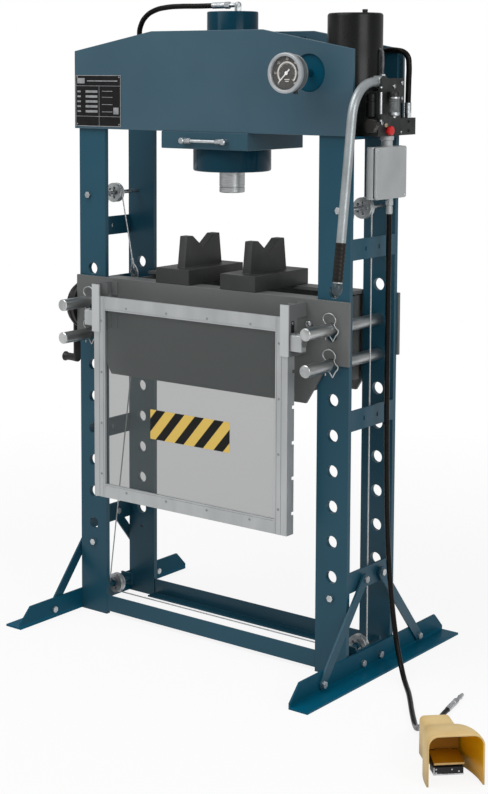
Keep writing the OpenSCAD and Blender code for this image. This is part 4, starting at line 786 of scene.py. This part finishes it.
for side, word in ((1, "right"), (-1, "left")):
    top = (side * 430.56, 0, 1313.48)
    low = (side * 381, 0, 1074.3)
    hanging = straight(f"hanging_rope_{word}", top, low, wire)
    rope_end(word, low, top)
    if side > 0:
        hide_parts("hanging_ropes")
low_start = (-483.77, 0, 61.55)
low_end = (-381, 0, 835.7)
lower = straight("lower_rope_run", low_start, low_end, wire)
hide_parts("lower_rope")
rope_end("lower", low_end, low_start)
over_top = wrap(pulley_x, top_z, 168.29, 0, 12)
under_right = wrap(pulley_x, low_z, 0, -90, 8)
under_left = wrap(-pulley_x, low_z, -90, -187.56, 8)
running = pipe("running_rope_level", over_top + under_right + under_left, 0.004, wire, bend="VECTOR")
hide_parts("running_ropes")
lift = [(-x, y, z) for x, y, z in over_top] + [(-0.478, -0.048, 0.960)]
for part in (running, pipe("running_rope_lift", lift, 0.004, wire, bend="VECTOR")):
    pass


# Winch: a round cast gear case bolted to a plate across the left uprights, with its drum inside the
# frame and a flat crank outside. The crank's grip is a moulded sleeve with a flared end.
def drawn_out(outline, axis, start, stop):
    """Bmesh of a flat outline drawn out along X, Y or Z; the outline is in the other two."""
    order = {"x": (2, 0, 1), "y": (0, 2, 1), "z": (0, 1, 2)}[axis]
    form = bmesh.new()
    spots = []
    for a, b in outline:
        spot = (a, b, start)
        spots.append(form.verts.new([spot[i] for i in order]))
    drawn = bmesh.ops.extrude_face_region(form, geom=[form.faces.new(spots)])
    moved = [v for v in drawn["geom"] if isinstance(v, bmesh.types.BMVert)]
    way = (0, 0, stop - start)
    bmesh.ops.translate(form, vec=[way[i] for i in order], verts=moved)
    return form


winch_y = -75
winch_z = 960
bolt_r = 55
winch = (0, winch_y, winch_z)
gear_case = turned("winch_case", [
    (0, -542), (22, -542), (24, -540), (24, -538), (62, -538), (66, -536), (68, -532), (68, -526),
    (71, -525), (75, -523), (75, -517), (72, -515), (72, -506), (75, -505), (75, -500), (0, -500)],
    winch, right, black, steps=96)
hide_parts("winch_gearbox")
winch_parts = [gear_case]
case_bolt = [(0, 0), (4.4, 0), (5, 0.6), (5, 4), (4.2, 4.8), (0, 4.8)]
for k in range(6):
    around = math.radians(60 * k + 30)
    at = (-537.6, winch_y + bolt_r * math.cos(around), winch_z + bolt_r * math.sin(around))
    winch_parts.append(turned(f"winch_bolt_{k}", case_bolt, at, left, zinc, steps=6, edge=0.4))
crank_bar = rounded((-556, -89, 772), (-548, -61, 975), "x", 13.9)
crank = solid("winch_crank_arm", crank_bar, black, "crank", edge=1.2)
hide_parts("winch_crank")
grip_flare = [
    (0, -605), (13, -605), (15, -603.5), (15, -600), (13.4, -597), (12, -592), (11.6, -575), (12.6, -560),
    (13, -557), (12, -556), (0, -556)]
crank_shaft = [(0, -560), (6, -560), (7, -559), (7, -528), (0, -528)]
crank_nut = [(0, -563), (9, -563), (10, -562), (10, -556), (0, -556)]
winch_parts += [
    crank,
    turned("winch_crank_shaft", crank_shaft, winch, right, zinc, "crank", 32),
    turned("winch_crank_nut", crank_nut, winch, right, zinc, "crank", 6, 0.5),
    turned("winch_crank_grip", grip_flare, (0, winch_y, 785), right, black, "crank", 48),
]
eased("winch_drum", plated, 0.8)

# Table: two bellied plates with top flanges and end plates between them, in grey paint.
# The pins pass through its slots, and the rope eyes are welded to its end plates.
grey = painted("table_paint", (92, 94, 94), 6, 0.48, 0.4)
for node in ("table_front_plate", "table_rear_plate", "table_spacers"):
    eased(node, grey, 1.2)

# Vee blocks: a thick base bar with a vee plate welded upright on it, loose on the table.
# Their paint is a darker grey than the table's.
charcoal = coat("vee_paint", (40, 42, 41), (54, 56, 55), (7, 5), 0.42, specular=0.3)
sheen(charcoal, 0.36, 0.5, 22, 4)
relief(charcoal, 0.0006, 0.3, 240, 4)
eased("vee_blocks", charcoal, 1.5)

# Table pins: four drawn steel bars through the table and the uprights, each kept by an R-clip.
# The clip's straight leg goes through a cross hole; its other leg grips round the bar.
drawn_steel = coat("pin_steel", (164, 167, 167), (204, 206, 206), (30, 4, (1, 0.15, 1)), 0.34, 1.0)
sheen(drawn_steel, 0.28, 0.44, 60, 4, (1, 0.2, 1))
pin_form = stub(17.5, -261.5, 159.5, 2)
clip_form = [
    (-12, -29), (-11, -8), (-11, 10), (-14, 17), (-20.5, 26), (-18, 37), (-7, 43.5), (7, 43), (17, 35),
    (20, 25), (16, 15), (22, 6), (29, -2), (20, -17), (12.5, -30), (11.5, -31), (10.5, -30), (6, -24),
    (2, -18.5)]
for name, x, z in (
        ("left_upper", -442, 982), ("left_lower", -442, 882), ("right_upper", 442, 982),
        ("right_lower", 442, 882)):
    pin = turned(f"{name}_pin_bar", pin_form, (x, 0, z), rear, drawn_steel, f"{name}_bar")
    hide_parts(f"{name}_pin")
    route = [((x + a) / 1000, -0.1425, (z + b) / 1000) for a, b in clip_form]
    clip = pipe(f"{name}_clip", route, 0.0036, drawn_steel, f"{name}_bar")

# Guard: four drawn aluminium bars, butted at the corners, with screws along them that hold a clear
# tinted panel. A notched rack stands behind the right stile.
bare = coat("guard_alloy", (170, 173, 174), (184, 187, 188), (14, 5, (1, 1, 0.3)), 0.42, 0.6)
sheen(bare, 0.36, 0.5, 45, 4, (1, 1, 0.3))
guard_x = 355
guard_low = 403
guard_top = 1015
guard_front = -216
guard_back = -208
bar_w = 42
rail_gap = 0.2
groove_w = 1.6
groove_y = guard_front + 1.4


def grooved(start, stop, grooves):
    """Cross-section of a guard bar: its width runs from start to stop, with fine grooves in its front."""
    sign = 1 if stop > start else -1
    outline = [(start, guard_back), (start, guard_front)]
    for g in grooves:
        near = start + sign * g
        far = near + sign * groove_w
        outline += [(near, guard_front), (near, groove_y), (far, groove_y), (far, guard_front)]
    return outline + [(stop, guard_front), (stop, guard_back)]


for side, word in ((-1, "left"), (1, "right")):
    stile = grooved(side * guard_x, side * (guard_x - bar_w), (20, 36))
    form = drawn_out(stile, "z", guard_low, guard_top)
    solid(f"guard_{word}_stile", form, bare, "guard", edge=0.5)
rail_x = guard_x - bar_w - 0.3
for word, outer, inward in (("bottom", guard_low, 1), ("top", guard_top, -1)):
    rail = grooved(outer + inward * rail_gap, outer + inward * (bar_w - rail_gap), (36,))
    form = drawn_out([(b, a) for a, b in rail], "x", -rail_x, rail_x)
    solid(f"guard_{word}_rail", form, bare, "guard", edge=0.5)
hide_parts("guard_frame")
rack_top = 915
rack_front = guard_back - 0.5
rack_y = -183
notch_y = rack_y - 10
rack = [(rack_front, guard_low), (rack_y, guard_low)]
for k in range(5):
    z = 462 + 100 * k
    rack += [(rack_y, z - 5), (notch_y, z - 5), (notch_y, z + 5), (rack_y, z + 5)]
rack += [(rack_y, rack_top), (rack_front, rack_top)]
solid("guard_rack", drawn_out(rack, "x", 351, guard_x), bare, "guard", edge=0.4)
screw_grey = finish("guard_screw_metal", tint(136, 139, 140), 0.5, 0.2)
sheen(screw_grey, 0.42, 0.58, 60)
screw_head = [(0, -0.4), (1, -0.4), (1.4, -1.5), (2.8, -1.3), (3.8, -0.6), (4.2, 0.4), (0, 0.4)]
rail_screws = [(x, z) for z in (986, 430) for x in (-228, -75, 75, 228)]
stile_screws = [(x, 475 + 155.5 * k) for x in (-326, 326) for k in range(4)]
for k, (x, z) in enumerate(rail_screws + stile_screws):
    at = (x, guard_front, z)
    turned(f"guard_screw_{k}", screw_head, at, rear, screw_grey, "guard", 20)
clear = finish("guard_clear", (0.09, 0.101, 0.099), 0.12, specular=0.3)
sheen(clear, 0.08, 0.16, 3)
glazed("guard_panel", clear, 0.38)

# Guard guides: folded steel channels on arms from the table, bright in front and dull behind.
# Each has a clamp block outside, a domed bolt in its arm and a slot with a set screw.
guide_grey = finish("guide_metal", tint(112, 115, 115), 0.45, 0.2)
mottle(guide_grey, past(guide_grey, "Y", -0.2165), (184, 187, 188), (108, 111, 111))
sheen(guide_grey, 0.38, 0.52, 30, 4)
relief(guide_grey, 0.0004, 0.2, 300, 3)
eased("guard_guides", guide_grey, 0.8)
clamp = [(-213, 922), (-187, 922), (-187, 967), (-200, 972), (-213, 967)]
dome = [(0, -4), (9, -4), (10, -2), (10, 3), (8.6, 7), (5, 9.4), (0, 10)]
set_screw = [(0, 0), (4.4, 0), (4, 2), (0, 3)]
for side, word in ((1, "right"), (-1, "left")):
    low, high = sorted((side * 359, side * 397))
    slot_low, slot_high = sorted((side * 359.2, side * 360.6))
    slot_form = rounded((slot_low, -207, 969), (slot_high, -193, 1005), "x", 6)
    for part in (
            solid(f"guard_clamp_{word}", drawn_out(clamp, "x", low, high), bare, "table", edge=2.5),
            turned(f"guide_bolt_{word}", dome, (side * 372, -136, 991), front, bright, "table", 32),
            solid(f"guide_slot_{word}", slot_form, black, "table"),
            turned(f"guide_screw_{word}", set_screw, (side * 360, -200, 998), (side, 0, 0), bright,
                   "table", 24)):
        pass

# Hazard patch: a plain striped film on the front of the panel.
# Its slanting stripes are ochre yellow and black.
striped = finish("hazard_stripes", tint(212, 180, 92), 0.45, specular=0.2)
sheen(striped, 0.4, 0.55, 30)
slant = 0.85
stripe_pitch = 0.0715
stripe_start = (0.121 + slant * 0.607) / stripe_pitch + 20
stripe_tree = striped.node_tree
stripe_at = axes_of(stripe_tree)
lean = reckon(stripe_tree, "MULTIPLY_ADD", stripe_at["Z"], -slant, stripe_at["X"])
count = reckon(stripe_tree, "MULTIPLY_ADD", lean, 1 / stripe_pitch, stripe_start)
choice = reckon(stripe_tree, "LESS_THAN", reckon(stripe_tree, "FRACT", count), 0.47)
stripe_mix = stripe_tree.nodes.new("ShaderNodeMix")
stripe_mix.data_type = "RGBA"
stripe_mix.inputs["A"].default_value = (*tint(212, 180, 92), 1)
stripe_mix.inputs["B"].default_value = (*tint(12, 12, 11), 1)
stripe_base = stripe_tree.nodes["Principled BSDF"].inputs["Base Color"]
stripe_tree.links.new(choice, stripe_mix.inputs["Factor"])
stripe_tree.links.new(stripe_mix.outputs["Result"], stripe_base)
solid("hazard_patch", rounded((-141, -208.7, 607), (151, -208.1, 695), "y", 3), striped, "guard")

# Foot pedal: a moulded ochre hood with a wide mouth and a narrow rear block, over a floor plate with
# the valve and the hinged treadle. Both hoses are pushed on barbs at the rear.
ochre = coat("pedal_ochre", (202, 171, 113), (213, 187, 133), (12, 4), 0.5, specular=0.2)
sheen(ochre, 0.42, 0.56, 30)
relief(ochre, 0.0004, 0.3, 420, 2)
# The hood's inner face takes a stronger amber than its outer ochre: painted light, for light passing
# through the plastic.
amber = coat("pedal_amber_painted_light", (222, 164, 7), (238, 184, 14), (12, 4), 0.5, specular=0.2)
sheen(amber, 0.42, 0.56, 30)
pedal_x = 1073
pedal_y = -536
diagonal = math.sqrt(0.5)


def pedal_spot(x, y, z):
    """Point in the pedal's own frame, turned by 45 degrees on the floor."""
    return (pedal_x + diagonal * (x - y), pedal_y + diagonal * (x + y), z)


def arch(y, width, height, radius, steps=8):
    """Arch outline of the hood at a distance y from its mouth."""
    half = width / 2
    line = [(-half, 0), (-half, 0.5 * (height - radius)), (-half, height - radius)]
    for centre, start in ((radius - half, 180), (half - radius, 90)):
        for k in range(1, steps + 1):
            around = math.radians(start - 90 * k / steps)
            line.append((centre + radius * math.cos(around), height - radius + radius * math.sin(around)))
        if centre < 0:
            line += [(centre + (half - radius) * 2 * k / 4, height) for k in range(1, 5)]
    line += [(half, 0.5 * (height - radius)), (half, 0)]
    return [pedal_spot(x, y, z) for x, z in line]


mouth_w = 140
mouth_h = 125
mouth_r = 28
rear_w = 78
rear_h = 96
rear_r = 12
shell = bmesh.new()
rows = []
for y in [0] + [6 + 6 * k for k in range(23)] + [150, 170, 194, 197, 199, 200]:
    share = min(max((y - 6) / 132, 0), 1)
    ease = share * share
    draw = max(0, y - 194) ** 2 / 12
    width = mouth_w + (rear_w - mouth_w) * ease - draw
    height = mouth_h + (rear_h - mouth_h) * ease - draw / 2
    line = arch(y, width, height, mouth_r + (rear_r - mouth_r) * ease)
    spots = [shell.verts.new(spot) for spot in line]
    rows.append([shell.edges.new(pair) for pair in zip(spots, spots[1:])])
shell.faces.new(spots)
for near, far in zip(rows, rows[1:]):
    bmesh.ops.bridge_loops(shell, edges=near + far)
hood = solid("pedal_hood_moulded", shell, ochre, angle=50)
hood.data.materials.append(amber)
wall = hood.modifiers.new("wall", "SOLIDIFY")
wall.thickness = 0.004
wall.offset = -1
wall.material_offset = 1
wall.material_offset_rim = 0
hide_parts("pedal_hood")
eased("pedal_base", black, 0.8)

# Treadle: a moulded plate hinged across the hood's inside, in a darker umber copy of the hood's ochre that
# is painted shade under the hood, with a pale front lip in the hood's own ochre. An inner wall in the same
# painted shade closes the hood behind it; a bright edge and small screws finish the base's front.
# Treadle and inner wall: a darker umber copy of the hood's ochre, as painted shade under the hood.
umber = coat("treadle_umber_shade", (140, 94, 4), (160, 114, 9), (12, 4), 0.5, specular=0.2)
eased("pedal_treadle", umber, 0.8)
at_pedal = Matrix.Translation((pedal_x, pedal_y, 0)) @ Matrix.Rotation(math.radians(45), 4, "Z")
at_treadle = at_pedal @ Matrix.Translation((0, 120, 45)) @ Matrix.Rotation(math.radians(14.5), 4, "X")
treadle_body = frame["nodes"]["pedal_treadle"]["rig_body"]
lip = slabs("treadle_lip", [(-37.6, 37.6, -63, -61.5, -2.6, 2.7)], ochre, treadle_body, 0.4, at_treadle)
slabs("pedal_inner_wall", [
    (-37.5, 37.5, 109.4, 111.6, 50, 95), (-37.5, -22.6, 109.4, 111.6, 45.6, 51),
    (22.6, 37.5, 109.4, 111.6, 45.6, 51), (-37, 37, 106, 110, 71, 74)], umber, edge=0.4, turn=at_pedal)
slabs("pedal_front_edge", [
    (-37.4, 37.4, 61.8, 63.4, 0.2, 3.4), (-37.4, -35, 61.8, 63.4, 3.5, 19),
    (-37.3, -36.2, 63.5, 98, 0.2, 3.4)], bright, edge=0.3, turn=at_pedal)
for n, (x, z) in enumerate(((-31, 6), (-31, 15), (8, 14), (25, 9))):
    turned(f"pedal_screw_{n}", [(0, 0), (2.2, 0), (2, 1.2), (0, 1.6)], pedal_spot(x, 63, z),
           (diagonal, -diagonal, 0), bright, steps=20)

# Hose barbs: two hexagon nuts of black plastic at the hood's rear, where the hoses are pushed on.
# The pedal hose comes to the left one and the tail hose leaves from the right one.
for n, x in enumerate((-20, 20)):
    turned(f"pedal_barb_nut_{n}", stub(10, 199, 206, 1), pedal_spot(x, 0, 50), (-diagonal, diagonal, 0),
           black, steps=6, edge=0.5)

# Floor and light: a pale floor, a large soft light overhead and a weaker one from the right.
# The floor is seen white and keeps a faint shadow under the press.
floor_mat = finish("floor", (0.75, 0.75, 0.75), 0.9)
floor_tree = floor_mat.node_tree
ray = floor_tree.nodes.new("ShaderNodeLightPath").outputs
seen = reckon(floor_tree, "MAXIMUM", ray["Is Camera Ray"], ray["Is Glossy Ray"])
seen = reckon(floor_tree, "MAXIMUM", seen, ray["Is Transmission Ray"])
floor_coords = floor_tree.nodes.new("ShaderNodeTexCoord")
away = floor_tree.nodes.new("ShaderNodeVectorMath")
away.operation = "LENGTH"
floor_tree.links.new(floor_coords.outputs["Object"], away.inputs[0])
fade = floor_tree.nodes.new("ShaderNodeMapRange")
fade.inputs["From Min"].default_value = 1.2
fade.inputs["From Max"].default_value = 3.0
fade.inputs["To Min"].default_value = 0.88
fade.inputs["To Max"].default_value = 1.0
floor_tree.links.new(away.outputs["Value"], fade.inputs["Value"])
glow = reckon(floor_tree, "MULTIPLY", seen, fade.outputs["Result"])
white = floor_tree.nodes.new("ShaderNodeEmission")
mix = floor_tree.nodes.new("ShaderNodeMixShader")
floor_tree.links.new(glow, mix.inputs["Fac"])
floor_tree.links.new(floor_tree.nodes["Principled BSDF"].outputs["BSDF"], mix.inputs[1])
floor_tree.links.new(white.outputs["Emission"], mix.inputs[2])
floor_tree.links.new(mix.outputs["Shader"], floor_tree.nodes["Material Output"].inputs["Surface"])
floor_form = bmesh.new()
bmesh.ops.create_grid(floor_form, x_segments=1, y_segments=1, size=9)
floor_mesh = bpy.data.meshes.new("floor")
floor_form.to_mesh(floor_mesh)
floor_form.free()
floor_mesh.materials.append(floor_mat)
floor = bpy.data.objects.new("floor", floor_mesh)
floor.location = (0, 0, -0.0005)
scene.collection.objects.link(floor)
for name, power, size, place, turn in (
        ("overhead", 112, 3.2, (-0.8, -2.2, 4.2), (27, -12, 0)),
        ("right", 85, 2.5, (4.4, -1.6, 2.6), (62, 0, 70))):
    lamp_data = bpy.data.lights.new(name, "AREA")
    lamp_data.energy = power
    lamp_data.size = size
    lamp = bpy.data.objects.new(name, lamp_data)
    lamp.location = place
    lamp.rotation_euler = [math.radians(a) for a in turn]
    scene.collection.objects.link(lamp)
world = bpy.data.worlds.new("studio")
world.use_nodes = True
scene.world = world
world_tree = world.node_tree
world_ray = world_tree.nodes.new("ShaderNodeLightPath").outputs
world_seen = reckon(world_tree, "MAXIMUM", world_ray["Is Camera Ray"], world_ray["Is Transmission Ray"])
strength = world_tree.nodes.new("ShaderNodeMapRange")
strength.inputs["To Min"].default_value = 0.5
strength.inputs["To Max"].default_value = 1.0
world_tree.links.new(world_seen, strength.inputs["Value"])
background = world_tree.nodes["Background"]
background.inputs["Color"].default_value = (1, 1, 1, 1)
world_tree.links.new(strength.outputs["Result"], background.inputs["Strength"])
